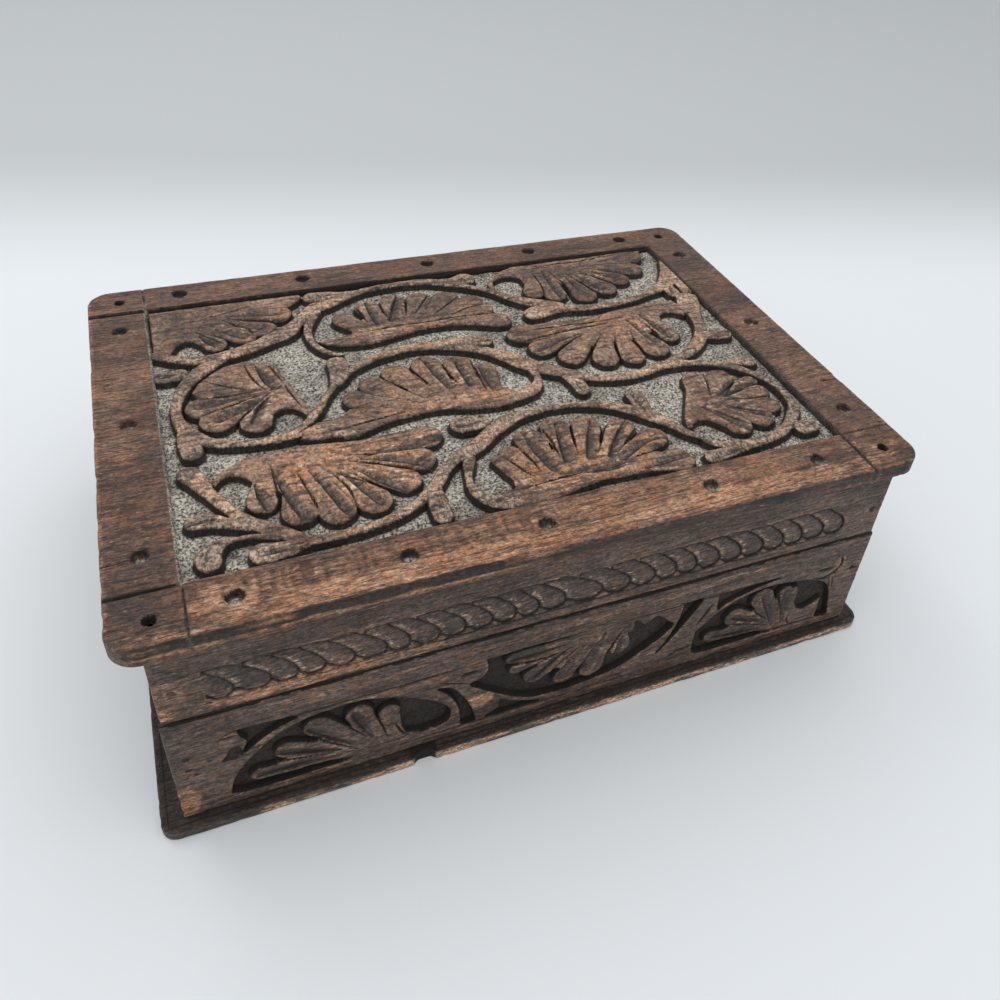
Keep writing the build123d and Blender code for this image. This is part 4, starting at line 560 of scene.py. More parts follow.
def punch_marks(x, y, pitch, radius, seed):
    """Depth from 0 to 1 of small round punch marks scattered one to a cell."""
    cells = 256
    place_x, place_y, strength = np.random.default_rng(seed).uniform(0, 1, (3, cells, cells))
    i, j = np.floor(x / pitch).astype(int), np.floor(y / pitch).astype(int)
    depth = np.zeros(np.shape(x))
    for di in (-1, 0, 1):
        for dj in (-1, 0, 1):
            a, b = (i + di) % cells, (j + dj) % cells
            dx = x / pitch - (i + di + place_x[a, b])
            dy = y / pitch - (j + dj + place_y[a, b])
            dent = 1 - (dx * dx + dy * dy) * (pitch / radius) ** 2
            depth = np.maximum(depth, dent * (0.5 + 0.5 * strength[a, b]))
    return depth


def zones(x, y, places, seed):
    """How strongly soft-edged oval zones cover each place."""
    share = np.zeros(np.shape(x))
    ragged = 0.28 * smooth_noise(x, y, 5.0, seed) + 0.16 * smooth_noise(x, y * 2, 2.0, seed + 1)
    for cx, cy, rx, ry, strength in places:
        away = np.hypot((x - cx) / rx, (y - cy) / ry) + ragged
        share = np.maximum(share, strength * (1 - ramp(away, 0.55, 1.2)))
    return share


def from_segment(x, y, a, b):
    """Distance of each place from the straight line between two points."""
    dx, dy = b[0] - a[0], b[1] - a[1]
    t = np.clip(((x - a[0]) * dx + (y - a[1]) * dy) / (dx * dx + dy * dy), 0, 1)
    return np.hypot(x - a[0] - t * dx, y - a[1] - t * dy)


def smooth_line(points, spacing):
    """Places along a smooth line through its control points, about spacing apart."""
    p = np.array(points, float)
    p = np.vstack([2 * p[0] - p[1], p, 2 * p[-1] - p[-2]])
    parts = []
    for a, b, c, d in zip(p[:-3], p[1:-2], p[2:-1], p[3:]):
        count = max(1, int(np.hypot(*(c - b)[:2]) / spacing))
        t = np.linspace(0, 1, count, endpoint=False)[:, None]
        bend = 2 * b + (c - a) * t + (2 * a - 5 * b + 4 * c - d) * t ** 2
        parts.append(0.5 * (bend + (3 * b - a - 3 * c + d) * t ** 3))
    return np.vstack(parts + [p[-2:-1]])


def tool_line(points, spacing):
    """A knife or gouge line through (x, y) points, and how far along it each place is."""
    if len(points) == 2:
        points = [points[0], tuple((a + b) / 2 for a, b in zip(*points)), points[1]]
    line = smooth_line(points, spacing)
    return line, np.linspace(0, 1, len(line))


class Face:
    """A fine flat grid over a carved face, in millimetres, and the strokes cut in it."""

    def __init__(self, x0, x1, y0, y1, step):
        self.low = (x0, y0)
        self.count = (round((x1 - x0) / step) + 1, round((y1 - y0) / step) + 1)
        self.xs, self.ys = np.linspace(x0, x1, self.count[0]), np.linspace(y0, y1, self.count[1])
        self.step = (self.xs[1] - self.xs[0], self.ys[1] - self.ys[0])
        self.x, self.y = np.meshgrid(self.xs, self.ys)
        self.shape = self.x.shape

    def near(self, x, y, reach_x, reach_y=None):
        """The part of the grid within reach of a place, and how far from the place its points are."""
        part = []
        for value, reach, low, step, count in zip(
                (y, x), (reach_y or reach_x, reach_x), self.low[::-1], self.step[::-1], self.count[::-1]):
            first = max(0, int((value - reach - low) / step))
            part.append(slice(first, max(first, min(count, int((value + reach - low) / step) + 2))))
        part = tuple(part)
        return part, self.x[part] - x, self.y[part] - y

    def stroke(self, line, reach=3.0):
        """Distance from a stroke's edge, less than 0 inside, and the half width there."""
        edge, width = np.full(self.shape, float(reach)), np.ones(self.shape)
        for x, y, half in line:
            part, dx, dy = self.near(x, y, half + reach)
            distance = np.hypot(dx, dy) - half
            nearer = distance < edge[part]
            np.copyto(edge[part], distance, where=nearer)
            np.copyto(width[part], half, where=nearer)
        return edge, width

    def outline(self, points, reach=4.0):
        """Distance from a closed outline's edge, less than 0 inside."""
        p = np.array(points, float)
        part, _, _ = self.near(*(p.max(0) + p.min(0)) / 2, *(p.max(0) - p.min(0)) / 2 + reach)
        x, y = self.x[part], self.y[part]
        nearest, inside = np.full(x.shape, 1e9), np.zeros(x.shape, bool)
        for a, b in zip(p, np.roll(p, -1, axis=0)):
            nearest = np.minimum(nearest, from_segment(x, y, a, b))
            if a[1] != b[1]:
                crossing = a[0] + (y - a[1]) / (b[1] - a[1]) * (b[0] - a[0])
                inside ^= ((y >= a[1]) != (y >= b[1])) & (x < crossing)
        edge = np.full(self.shape, reach)
        edge[part] = np.where(inside, -nearest, np.minimum(nearest, reach))
        return edge

    def blur(self, values, size):
        """The values softened over about size."""
        pad = int(3 * size / self.step[0])
        wide = np.pad(values, pad, mode="edge")
        row_waves = np.fft.fftfreq(wide.shape[0], self.step[1])[:, None]
        column_waves = np.fft.rfftfreq(wide.shape[1], self.step[0])[None, :]
        weight = np.exp(-2 * (math.pi * size) ** 2 * (row_waves ** 2 + column_waves ** 2))
        soft = np.fft.irfft2(np.fft.rfft2(wide) * weight, s=wide.shape)
        return soft[pad:-pad, pad:-pad]

    def sample(self, masks, x, y):
        """The masks read between the grid's points."""
        u = np.clip((x - self.low[0]) / self.step[0], 0, self.count[0] - 1.001)
        v = np.clip((y - self.low[1]) / self.step[1], 0, self.count[1] - 1.001)
        i, j = u.astype(int), v.astype(int)
        s, t = u - i, v - j
        return {label: mix(mix(values[j, i], values[j, i + 1], s), mix(values[j + 1, i], values[j + 1, i + 1], s), t)
                for label, values in masks.items()}

    def crisp(self, edge, wall):
        """The grid's places with those beside an outline moved onto it or onto the foot of its wall."""
        rise_y, rise_x = np.gradient(edge, self.ys, self.xs)
        size = np.maximum(rise_x ** 2 + rise_y ** 2, 0.3)
        half = 0.5 * self.step[0]
        rim, foot = np.abs(edge) < half, (edge >= half) & (edge < 3 * half)
        shift = np.where(rim, -edge, np.where(foot, wall - edge, 0.0)) / size
        shift[[0, -1], :] = 0
        shift[:, [0, -1]] = 0
        return self.x + shift * rise_x, self.y + shift * rise_y

    def masks(self, height, edge, marks):
        """What the finish needs to know of the carving: its cuts, flutes, crests and ground."""
        inside = edge < 0
        level = np.where(inside, height, np.maximum(height, -0.9))
        soft = self.blur(level, 0.7)
        low = np.clip((soft - level) / 0.45, 0, 1)
        return {
            # Hollow paints the cuts, the creases and all of the ground dark, as shade with grime; dust covers the
            # ground away from the walls, so a painted shadow band stays at their foot.
            "hollow": np.where(inside, np.clip(np.maximum(marks["cut"], 0.5 * low), 0, 1), 1.0),
            "flute": marks["flute"] * inside,
            "crest": np.clip((level - soft) / 0.3, 0, 1) * inside,
            "ground": ramp(edge, 0.4, 1.1),
        }


def no_marks(face):
    """The marks of a face before any is cut: how deep each place is, how dark a cut and how dark a flute."""
    return {label: np.zeros(face.shape) for label in ("depth", "cut", "flute")}


def deepen(marks, part, **values):
    """Raises the marks on part of a face to the given values where these are larger."""
    for label, value in values.items():
        np.maximum(marks[label][part], value, out=marks[label][part])


def knife_cut(face, marks, points, half=0.5, deepest=0.9):
    """A V-shaped cut that thins out at both ends."""
    line, along = tool_line(points, 0.3)
    for (x, y), share in zip(line, np.sqrt(np.clip(np.sin(np.pi * (0.08 + 0.88 * along)), 0, 1))):
        width = half * (0.5 + 0.5 * share)
        part, dx, dy = face.near(x, y, width)
        cut = share * (1 - np.minimum(np.hypot(dx, dy) / width, 1))
        # The cut is also painted dark, as shade with grime.
        deepen(marks, part, depth=deepest * cut, cut=1.5 * cut)


def flute_cut(face, marks, points, half, deepest):
    """A hollow that widens along its line, steep on the side toward the left and front and easy on the other; it is
    painted dark as shade, with a painted shadow line along its steep side.
    """
    line, along = tool_line(points, 0.4)
    shares = (0.5 + 0.5 * ramp(along, 0, 0.5)) * (1 - 0.5 * ramp(along, 0.9, 1.0))
    halves = half * (0.35 + 0.65 * ramp(along, -0.1, 0.8))
    turns = np.gradient(line, axis=0)
    turns /= np.hypot(*turns.T)[:, None]
    for (x, y), (tx, ty), width, share in zip(line, turns, halves, shares):
        part, dx, dy = face.near(x, y, width)
        lean = 1.0 if ty > tx else -1.0
        across = lean * (dy * tx - dx * ty) / width
        within = np.hypot(dx, dy) < width
        sides = np.where(across > 0.45, (1 - across) / 0.55, (1 + across) / 1.45)
        shape = share * within * np.clip(sides, 0, 1)
        dark_side = 0.9 * share * within * np.exp(-((across - 0.6) / 0.2) ** 2)
        deepen(marks, part, depth=deepest * shape, flute=np.sqrt(shape), cut=dark_side)


def worn_and_shaded_rim(face, edge, marks):
    """How far the forms' rims are worn down, most at the front, where they are also painted dark as shade."""
    rise_y, _ = np.gradient(edge, face.ys, face.xs)
    front = np.clip(-rise_y, 0, 1)
    dark = np.exp(np.minimum(edge, 0) / 0.8) * front * (edge < 0.4)
    deepen(marks, ..., flute=0.95 * dark)
    return np.exp(np.minimum(edge, 0) / 0.5) * (0.25 + 0.55 * front)


def stopped_nails(x, z, place):
    """How deep a face is sunk at the stopped nail holes near its two ends."""
    return 0.35 * (1 - ramp(np.hypot(np.abs(x) - place[0], z - place[1]), 0.8, 1.3))


def vine_relief(face, line, wobble):
    """A vine's surface, nearly flat on top, and the distance from its edge."""
    edge, width = face.stroke(line)
    edge = edge + wobble + 0.3
    across = np.clip(1 + edge / width, 0, 1)
    return -0.3 * across ** 4 - WALL_DROP * np.maximum(edge, 0), edge


def leaf_relief(face, leaf, wobble, gouge_depth, marks):
    """A leaf's surface of blade and lobes, and the distance from its edge; its cuts and flutes go into the marks."""
    edge = face.outline(leaf["blade"]) + wobble
    surface = -0.25 - 0.3 * np.exp(np.minimum(edge, 0) / 0.6) - WALL_DROP * np.maximum(edge, 0)
    nearest = edge
    gouges = leaf["gouges"]
    if not gouges:
        gouges = [[[a + 0.3 * (b - a) for a, b in zip(root[:2], tip[:2])], tip[:2]] for root, tip in leaf["lobes"]]
    for number, (root, tip) in enumerate(leaf["lobes"]):
        count = max(3, int(math.dist(root[:2], tip[:2]) / 0.4))
        edge, width = face.stroke(np.linspace(root, tip, count))
        edge = edge + wobble - 0.1
        across = np.clip(1 + edge / width, 0, 1)
        turn = math.atan2(tip[1] - root[1], tip[0] - root[0])
        along = face.x * math.cos(turn) + face.y * math.sin(turn)
        side = face.y * math.cos(turn) - face.x * math.sin(turn)
        fluting = smooth_noise(along * 0.16, side, 1.1, 80 + number)
        lobe = -0.05 - 0.5 * across ** 3 - 0.16 * fluting - WALL_DROP * np.maximum(edge, 0)
        # The low lines of the fluting on each lobe are painted dark as shade.
        deepen(marks, ..., flute=0.55 * np.clip(fluting - 0.1, 0, 1) * (edge < 0))
        surface, nearest = np.maximum(surface, lobe), np.minimum(nearest, edge)
    for points in gouges:
        flute_cut(face, marks, points, 2.2, gouge_depth)
    for points in leaf["cuts"]:
        knife_cut(face, marks, points)
    return surface, nearest


def carved_field(sizes):
    """The lid's carved field: its grid, its heights below the lid's top, the edge of its forms and its masks."""
    face = Face(*FIELD, LID_GRID)
    x, y = face.x, face.y
    wobble = 0.11 * smooth_noise(x, y, 2.6, 3) + 0.06 * smooth_noise(x, y, 1.0, 4)
    relief, edge = np.full(face.shape, -19.0), np.full(face.shape, 4.0)
    marks = no_marks(face)
    for points in list(VINES.values()) + BUDS:
        surface, nearest = vine_relief(face, smooth_line(points, 0.5), wobble)
        relief, edge = np.maximum(relief, surface), np.minimum(edge, nearest)
    vine = edge < -0.3
    for leaf in LEAVES.values():
        surface, nearest = leaf_relief(face, leaf, wobble, sizes.gouge_depth / MM, marks)
        relief, edge = np.maximum(relief, surface), np.minimum(edge, nearest)
    for points, half, deepest in BUD_GOUGES:
        flute_cut(face, marks, points, half, deepest)
    top = relief + WALL_DROP * np.maximum(edge, 0) - marks["depth"] - worn_and_shaded_rim(face, edge, marks)
    top += 0.12 * smooth_noise(x, y, 3.0, 6) + 0.06 * smooth_noise(x, y * 5, 5.0, 5)
    punched = punch_marks(x, y, 1.3, 0.75, 7) * ramp(edge, 0.5, 1.4)
    uneven = 0.2 * smooth_noise(x, y, 3.0, 8) * ramp(edge, 0.5, 1.5)
    floor = 0.12 - sizes.carving_depth / MM + uneven - 0.25 * punched
    height = np.where(edge < 0.5 * face.step[0], top, floor)
    to_border = np.minimum(FIELD[1] - x, FIELD[3] - y)
    height = np.where(to_border < 0.8, np.minimum(height, -1.6 + 1.2 * to_border), height)
    masks = face.masks(height, edge, marks)
    masks["pale"] = vine * ramp(smooth_noise(x, y, 6.0, 9), -1.2, 0.4)
    return face, np.minimum(height, -0.02), edge, masks


def border_surface(x, y):
    """Heights and masks of the lid's border, at any places on it."""
    drop, hollow, ground = np.zeros((3, *np.shape(x)))
    rough = smooth_noise(x, y, 0.9, 12)
    # Pits are painted dark, as shade with grime; all but the back row keep pale dust in their front half, so a painted
    # shadow crescent stays at their back.
    for px, py in PITS:
        away = np.hypot(x - px, (y - py) * 1.08) + 0.3 * smooth_noise(x, y, 1.7, 11)
        at_back = py > 75
        drop = np.maximum(drop, 1.7 * (1 - ramp(away, 1.5, 3.0)) + 0.4 * rough * (away < 2.5))
        hollow = np.maximum(hollow, (1.0 if at_back else 0.7) * (1 - ramp(away, 2.2, 3.3)))
        if not at_back:
            ground = np.maximum(ground, 0.75 * (1 - ramp(np.hypot(x - px, y - py + 1.1), 1.0, 2.3)))
    # The sunk corner nails are ringed with painted shade.
    for px, py in CORNER_NAILS:
        away = np.hypot(x - px, y - py) + 0.12 * rough
        drop = np.maximum(drop, 2.6 * (1 - ramp(away, 1.3, 1.7)))
        hollow = np.maximum(hollow, 1 - ramp(away, 1.5, 2.1))
    # The grooves are painted dark where they hold no dust, as shade with grime.
    for start, end, half, dust in BORDER_LINES:
        away = from_segment(x, y, start, end) + 0.15 * smooth_noise(x, y, 3.0, 13)
        drop = np.maximum(drop, 1.6 * half * np.clip(1 - away / half, 0, 1))
        line = 1 - ramp(away, 0.6 * half, 1.3 * half)
        hollow, ground = np.maximum(hollow, (1 - dust) * line), np.maximum(ground, dust * line)
    saw = ramp(x, -104, -96) * (1 - ramp(x, 0, 12)) * ramp(y, -81, -78) * (1 - ramp(y, -72, -69.5))
    saw = saw * ramp(smooth_noise(x * 5, y * 0.7, 6.0, 14), -0.1, 0.7)
    uneven = 0.09 * smooth_noise(x, y, 9.0, 15) + 0.06 * smooth_noise(x, y * 6, 5.0, 16)
    height = -(drop + 0.14 * saw + 0.15 + uneven)
    return np.minimum(height, -0.01), {"hollow": np.maximum(hollow, 0.45 * saw), "ground": ground}


def scale_row(face):
    """Heights of the overlapping scales, where they lie, their marks and the pale places beside their cuts and along
    their lower ends, which are painted highlights.
    """
    x, z = face.x, face.y
    height, pale = np.zeros((2, *face.shape))
    marks = no_marks(face)
    covered = np.zeros(face.shape, bool)
    wobble = 0.2 * smooth_noise(x, z, 2.2, 31)
    flecks = ramp(smooth_noise(x, z * 2, 1.5, 38), -0.5, 0.3)
    for start, end in reversed(list(zip([-106.0] + SCALE_ENDS[:-1], SCALE_ENDS))):
        size = (end - start) / 8.0
        edge = face.outline(smooth_line([(end + dx * size, level) for dx, level in SCALE_SHAPE], 0.8)[:-1]) + wobble
        inside = (edge < 0) & (x > -105)
        rise = 1 - np.exp(np.minimum(edge, 0) / 0.7)
        slope = ramp(-edge, 0.2, 4.5 * size)
        line = np.exp(-((edge + 0.1) / 0.4) ** 2) * (x > -105)
        # A pale crescent just outside each cut, on the scale beneath: a painted highlight.
        beside = np.exp(-((edge - 1.1) / 0.7) ** 2) * (edge > 0) * covered
        beside = beside * ramp(z, 54, 55.5) * (1 - ramp(z, 62.5, 65))
        height = np.where(inside, 0.55 * rise + 0.3 * slope - 0.95, height)
        pale = np.where(inside, 0, np.maximum(pale, beside * flecks))
        marks["flute"] = np.where(inside, 0.75 * (1 - slope) * ramp(z, 53.4, 54.4), marks["flute"])
        marks["cut"] = np.maximum(np.where(inside, 0, marks["cut"]), line)
        covered |= inside
    # Painted shade along the scales' lower ends, and a painted highlight band just above it.
    low = covered * np.exp(-((z - 53.4) / 0.9) ** 2) * ramp(smooth_noise(x, z, 1.7, 39), -0.5, 0.2)
    deepen(marks, ..., cut=low)
    rim = covered * np.exp(-((z - 54.6) / 0.7) ** 2) * ramp(smooth_noise(x, z, 1.6, 40), 0.1, 0.5)
    return height, covered, marks, np.maximum(pale, rim)


def carved_lid_rail():
    """The lid's front rail: its grid, its heights, no edge to any form, and its masks."""
    face = Face(-116.3, 116.3, 49.4, 75.8, FRONT_GRID)
    x, z = face.x, face.y
    plain = -0.12 - 0.1 * smooth_noise(x, z * 5, 7.0, 33) - 0.08 * smooth_noise(x, z, 2.4, 34)
    rough = ramp(z, 50, 51) * (1 - ramp(z, 53, 54.6)) * (1 - ramp(x, -44, -34))
    plain -= 0.3 * rough * np.clip(smooth_noise(x, z, 1.6, 36) + 0.3, 0, 1)
    scales, covered, marks, pale = scale_row(face)
    plain -= 0.35 * marks["cut"]
    knife_cut(face, marks, [(-107, 52.6), (0, 52.5), (100, 52.7)], 0.45, 0.35)
    hole = stopped_nails(x, z, STOPPED_NAILS["lid"])
    height = np.minimum(np.where(covered, scales, plain) - marks["depth"] - hole, -0.02)
    # The nail holes are painted dark as shade.
    deepen(marks, ..., cut=2 * hole)
    masks = face.masks(height, np.full(face.shape, -1.0), marks)
    masks.update(pale=pale, rubbed=zones(x, z, RAIL_RUBBED_AND_LIT, 37))
    return face, height, np.full(face.shape, 4.0), masks


def carved_front_board(sizes):
    """The box's front board: its grid, its heights, the edge of its forms and its masks."""
    face = Face(-116.8, 116.8, 5.2, 46.6, FRONT_GRID)
    x, z = face.x, face.y
    wobble = 0.12 * smooth_noise(x, z, 2.2, 41)
    edge, floor = np.full(face.shape, -4.0), np.full(face.shape, -1.0)
    for points, depth in FRONT_GROUNDS:
        inner = face.outline(smooth_line(points + points[:1], 1.0)[:-1]) + wobble
        edge = np.maximum(edge, -inner)
        floor = np.where(inner < 0.5, -depth * sizes.front_depth / 0.0025, floor)
    relief = -WALL_DROP * np.maximum(edge, 0)
    marks = no_marks(face)
    for leaf in FRONT_LEAVES:
        surface, nearest = leaf_relief(face, leaf, wobble, 0.8 * sizes.gouge_depth / MM, marks)
        relief, edge = np.maximum(relief, surface), np.minimum(edge, nearest)
    for points, half, deepest in FRONT_CUTS:
        knife_cut(face, marks, points, half, deepest)
    top = relief + WALL_DROP * np.maximum(edge, 0) - marks["depth"] - 0.7 * worn_and_shaded_rim(face, edge, marks)
    top -= 0.09 * smooth_noise(x, z * 5, 7.0, 42) + 0.06 * smooth_noise(x, z, 3.0, 45) + 0.15
    punched = punch_marks(x, z, 1.1, 0.6, 43) * ramp(edge, 0.4, 1.2)
    floor = floor + 0.25 * smooth_noise(x, z, 3.0, 44) * ramp(edge, 0.4, 1.4) - 0.25 * punched
    hole = stopped_nails(x, z, STOPPED_NAILS["box"])
    height = np.minimum(np.where(edge < 0.5 * face.step[0], top, floor) - hole, -0.02)
    # The nail holes are painted dark as shade.
    deepen(marks, ..., cut=2 * hole)
    masks = face.masks(height, edge, marks)
    # The ground of the front board is painted near black, as shade with grime, and gets almost no dust.
    masks.update(hollow=np.where(edge > 0, 0.97, masks["hollow"]), ground=0.04 * masks["ground"],
                 rubbed=zones(x, z, FRONT_RUBBED_AND_LIT, 46))
    return face, height, edge, masks


# ---- Meshes ----

def upward(u, v, h):
    """Places on a face that looks up, from (u, v) and the height over the lid's top."""
    return np.stack([u, v, LID_TOP + h], -1)


def forward(level):
    """Places on a face that looks to the front."""
    return lambda u, v, h: np.stack([u, level - h, v], -1)


def make_mesh(name, points, faces):
    """A mesh from points in millimetres and a list of arrays of faces with equal side counts."""
    mesh = bpy.data.meshes.new(name)
    used, corners = np.unique(np.concatenate([f.ravel() for f in faces]), return_inverse=True)
    points, corners = np.asarray(points)[used], corners.astype(np.int32)
    sides = np.concatenate([np.full(len(f), f.shape[1]) for f in faces])
    starts = np.concatenate([[0], np.cumsum(sides)[:-1]]).astype(np.int32)
    mesh.vertices.add(len(points))
    mesh.vertices.foreach_set("co", (points * MM).astype(np.float32).ravel())
    mesh.loops.add(len(corners))
    mesh.loops.foreach_set("vertex_index", corners)
    mesh.polygons.add(len(sides))
    mesh.polygons.foreach_set("loop_start", starts)
    mesh.update(calc_edges=True)
    mesh.validate()
    return mesh


def around(grid):
    """The values round a grid's edge, anticlockwise from its first corner."""
    return np.concatenate([grid[0, :-1], grid[:-1, -1], grid[-1, :0:-1], grid[:0:-1, 0]])


def band(upper, lower):
    """The quads between two loops of equal length."""
    return np.stack([upper, lower, np.roll(lower, -1), np.roll(upper, -1)], 1)


class Slab:
    """A board built from a gridded face, whose edge is drawn out loop by loop."""

    def __init__(self, place):
        self.place, self.points, self.faces, self.total = place, [], [], 0

    def add(self, u, v, height):
        """Adds places and returns their indexes."""
        self.points.append(self.place(u, v, np.broadcast_to(height, u.shape)).reshape(-1, 3))
        self.total += u.size
        return np.arange(self.total - u.size, self.total).reshape(u.shape)

    def grid(self, u, v, height, keep=slice(None)):
        """Adds the gridded face, or the part of it to keep, and starts from its edge."""
        index = self.add(u, v, height)
        quads = np.stack([index[:-1, :-1], index[:-1, 1:], index[1:, 1:], index[1:, :-1]], -1)
        self.faces.append(quads[keep].reshape(-1, 4))
        self.last = around(index)
        return index

    def draw(self, u, v, height):
        """Draws the last loop out to new places."""
        new = self.add(u, v, height)
        self.faces.append(band(self.last, new))
        self.last = new

    def close(self):
        """Closes the board behind the last loop."""
        self.faces.append(self.last[::-1][None, :])

    def build(self, name):
        return make_mesh(name, np.vstack(self.points), self.faces)

    def round_over(self, u, v, out_u, out_v, start, radius, worn):
        """Rolls a face's worn edge over a quarter round and returns the places that it ends at."""
        steps = 4
        for k in range(1, steps + 1):
            angle = math.pi / 2 * k / steps
            out = radius * math.sin(angle) - worn * math.sin(angle)
            places = u + out * out_u, v + out * out_v
            self.draw(*places, start * (1 - k / steps) - radius * (1 - math.cos(angle)))
        return places


def outwards(shape):
    """Outward directions round a grid's edge, slanting at its corners."""
    out_u, out_v = np.zeros((2, *shape))
    out_u[:, 0], out_u[:, -1] = -1, 1
    out_v[0, :], out_v[-1, :] = -1, 1
    return out_u, out_v


def edge_wear(u, v, amount, seed):
    """How far a worn edge has gone back, from place to place along it."""
    nicks = np.clip(smooth_noise(u, v, 3.0, seed + 1) - 0.35, 0, 1)
    return amount * (0.4 + 0.25 * smooth_noise(u, v, 14.0, seed) + 1.2 * nicks)


def carved_board_mesh(name, face, height, edge, level, seed):
    """A board with a carved face that looks to the front, rounded worn edges and a plain back."""
    slab = Slab(forward(level))
    slab.grid(*face.crisp(edge, 0.4), height)
    u, v = around(face.x), around(face.y)
    out_u, out_v = map(around, outwards(face.shape))
    u, v = slab.round_over(u, v, out_u, out_v, around(height), 1.2, edge_wear(u, v, 0.35, seed))
    slab.draw(u, v, -BOARD_THICKNESS)
    slab.close()
    return slab.build(name)


def lid_field_mesh(face, height, edge):
    """The carved slab that lies in the border."""
    x, y = face.crisp(edge, 0.45)
    slab = Slab(upward)
    slab.grid(x, y, height)
    slab.draw(around(x), around(y), FIELD_FLOOR - LID_TOP)
    slab.close()
    return slab.build("lid_carving")


def lid_border_mesh():
    """The lid board's flat border, its worn outer edge and the tray that the carving lies in."""
    radius, chamfer = 1.0, 0.4
    half_x, half_y = (size - radius for size in LID_HALF)

    def lines(*stops):
        parts = [np.linspace(a, b, round((b - a) / BORDER_GRID) + 1) for a, b in zip(stops[:-1], stops[1:])]
        return np.concatenate([parts[0], parts[1][1:], parts[2][1:]])

    def in_field(values, low, high):
        middle = (values[:-1] + values[1:]) / 2
        return (middle > low) & (middle < high)

    us, vs = lines(-half_x, *FIELD[:2], half_x), lines(-half_y, *FIELD[2:], half_y)
    u, v = np.meshgrid(us, vs)
    out_u, out_v = outwards(u.shape)
    centre_u, centre_v = half_x - (LID_CORNER - radius), half_y - (LID_CORNER - radius)
    a, b = np.abs(u) - centre_u, np.abs(v) - centre_v
    bend = (a > 0) & (b > 0)
    reach, length = np.maximum(a, b), np.hypot(a, b)
    length = np.where(length > 0, length, 1)
    u = np.where(bend, np.sign(u) * (centre_u + a / length * reach), u)
    v = np.where(bend, np.sign(v) * (centre_v + b / length * reach), v)
    edge = (out_u != 0) | (out_v != 0)
    out_u = np.where(bend & edge, np.sign(u) * a / length, out_u)
    out_v = np.where(bend & edge, np.sign(v) * b / length, out_v)
    height, _ = border_surface(u, v)
    slab = Slab(upward)
    index = slab.grid(u, v, height, ~(in_field(vs, *FIELD[2:])[:, None] & in_field(us, *FIELD[:2])[None, :]))

    pu, pv, du, dv, start = map(around, (u, v, out_u, out_v, height))
    notch = ramp(pu, 120, 122) * np.clip(1 - np.abs(pv - LID_NOTCH) / 2.6, 0, 1) ** 0.5
    pu, pv = slab.round_over(pu, pv, du, dv, start, radius, np.maximum(edge_wear(pu, pv, 0.4, 21), 2.2 * notch))
    under = LID_UNDERSIDE - LID_TOP
    for level in (-1.7, -2.4, -3.0, -3.6, under + chamfer):
        slab.draw(pu, pv, level)
    slab.draw(pu - chamfer * du, pv - chamfer * dv, under)
    slab.close()

    i0, i1 = np.searchsorted(us, np.array(FIELD[:2]) - 0.01)
    j0, j1 = np.searchsorted(vs, np.array(FIELD[2:]) - 0.01)
    rim = around(index[j0:j1 + 1, i0:i1 + 1])
    floor = slab.add(u.ravel()[rim], v.ravel()[rim], FIELD_FLOOR - LID_TOP)
    slab.faces += [band(rim, floor)[:, ::-1], floor[None, :]]
    return slab.build("lid_border")


def rounded_outline(half_x, half_y, corner, spacing):
    """Places anticlockwise round a rectangle with rounded corners, and the directions out of it."""
    places, outs = [], []
    x, y = half_x - corner, half_y - corner
    centres = [(x, y), (-x, y), (-x, -y), (x, -y)]
    for k, centre in enumerate(centres):
        angles = (k + np.linspace(0, 1, 9)) * math.pi / 2
        out = np.column_stack([np.cos(angles), np.sin(angles)])
        first, last = centre + corner * out[-1], centres[(k + 1) % 4] + corner * out[-1]
        share = np.linspace(0, 1, int(math.dist(first, last) / spacing) + 1)[1:-1, None]
        places += [centre + corner * out, first + share * (last - first)]
        outs += [out, np.repeat(out[-1:], len(share), 0)]
    return np.vstack(places), np.vstack(outs)


def base_mesh():
    """The base board with its worn edge and the piece broken out of its front."""
    places, outs = rounded_outline(*BASE_HALF, BASE_CORNER, 0.7)
    u, v = places.T
    broken = np.clip(1 - np.abs(u - BASE_NOTCH + 0.6 * smooth_noise(u, v, 1.2, 83)) / 3.5, 0, 1) * (v < -86)
    worn = np.maximum(edge_wear(u, v, 0.3, 81), 1.7 * np.sqrt(np.clip(2.2 * broken, 0, 1)))
    slab = Slab(lambda a, b, h: np.stack([a, b, h], -1))
    loops = []
    for inset, level in BASE_RINGS:
        back = np.maximum(inset, worn + 0.12 * inset)
        loops.append(slab.add(u - back * outs[:, 0], v - back * outs[:, 1], level))
    slab.faces += [band(upper, lower) for lower, upper in zip(loops[:-1], loops[1:])]
    slab.faces += [loops[0][::-1][None, :], loops[-1][None, :]]
    return slab.build("base_worn")


# ---- Objects ----

def add_object(name, data):
    """A new object in the scene, at the origin."""
    obj = bpy.data.objects.new(name, data)
    bpy.context.scene.collection.objects.link(obj)
    return obj


def settle(obj):
    """Turns an object's modifiers into plain mesh."""
    graph = bpy.context.evaluated_depsgraph_get()
    mesh = bpy.data.meshes.new_from_object(obj.evaluated_get(graph))
    old = obj.data
    obj.modifiers.clear()
    obj.data = mesh
    bpy.data.meshes.remove(old)


def thin_out(obj, triangles):
    """Lowers the number of triangles where the surface is nearly flat."""
    obj.data.calc_loop_triangles()
    count = len(obj.data.loop_triangles)
    if count > triangles:
        modifier = obj.modifiers.new("Thin out", "DECIMATE")
        modifier.ratio = triangles / count
        settle(obj)


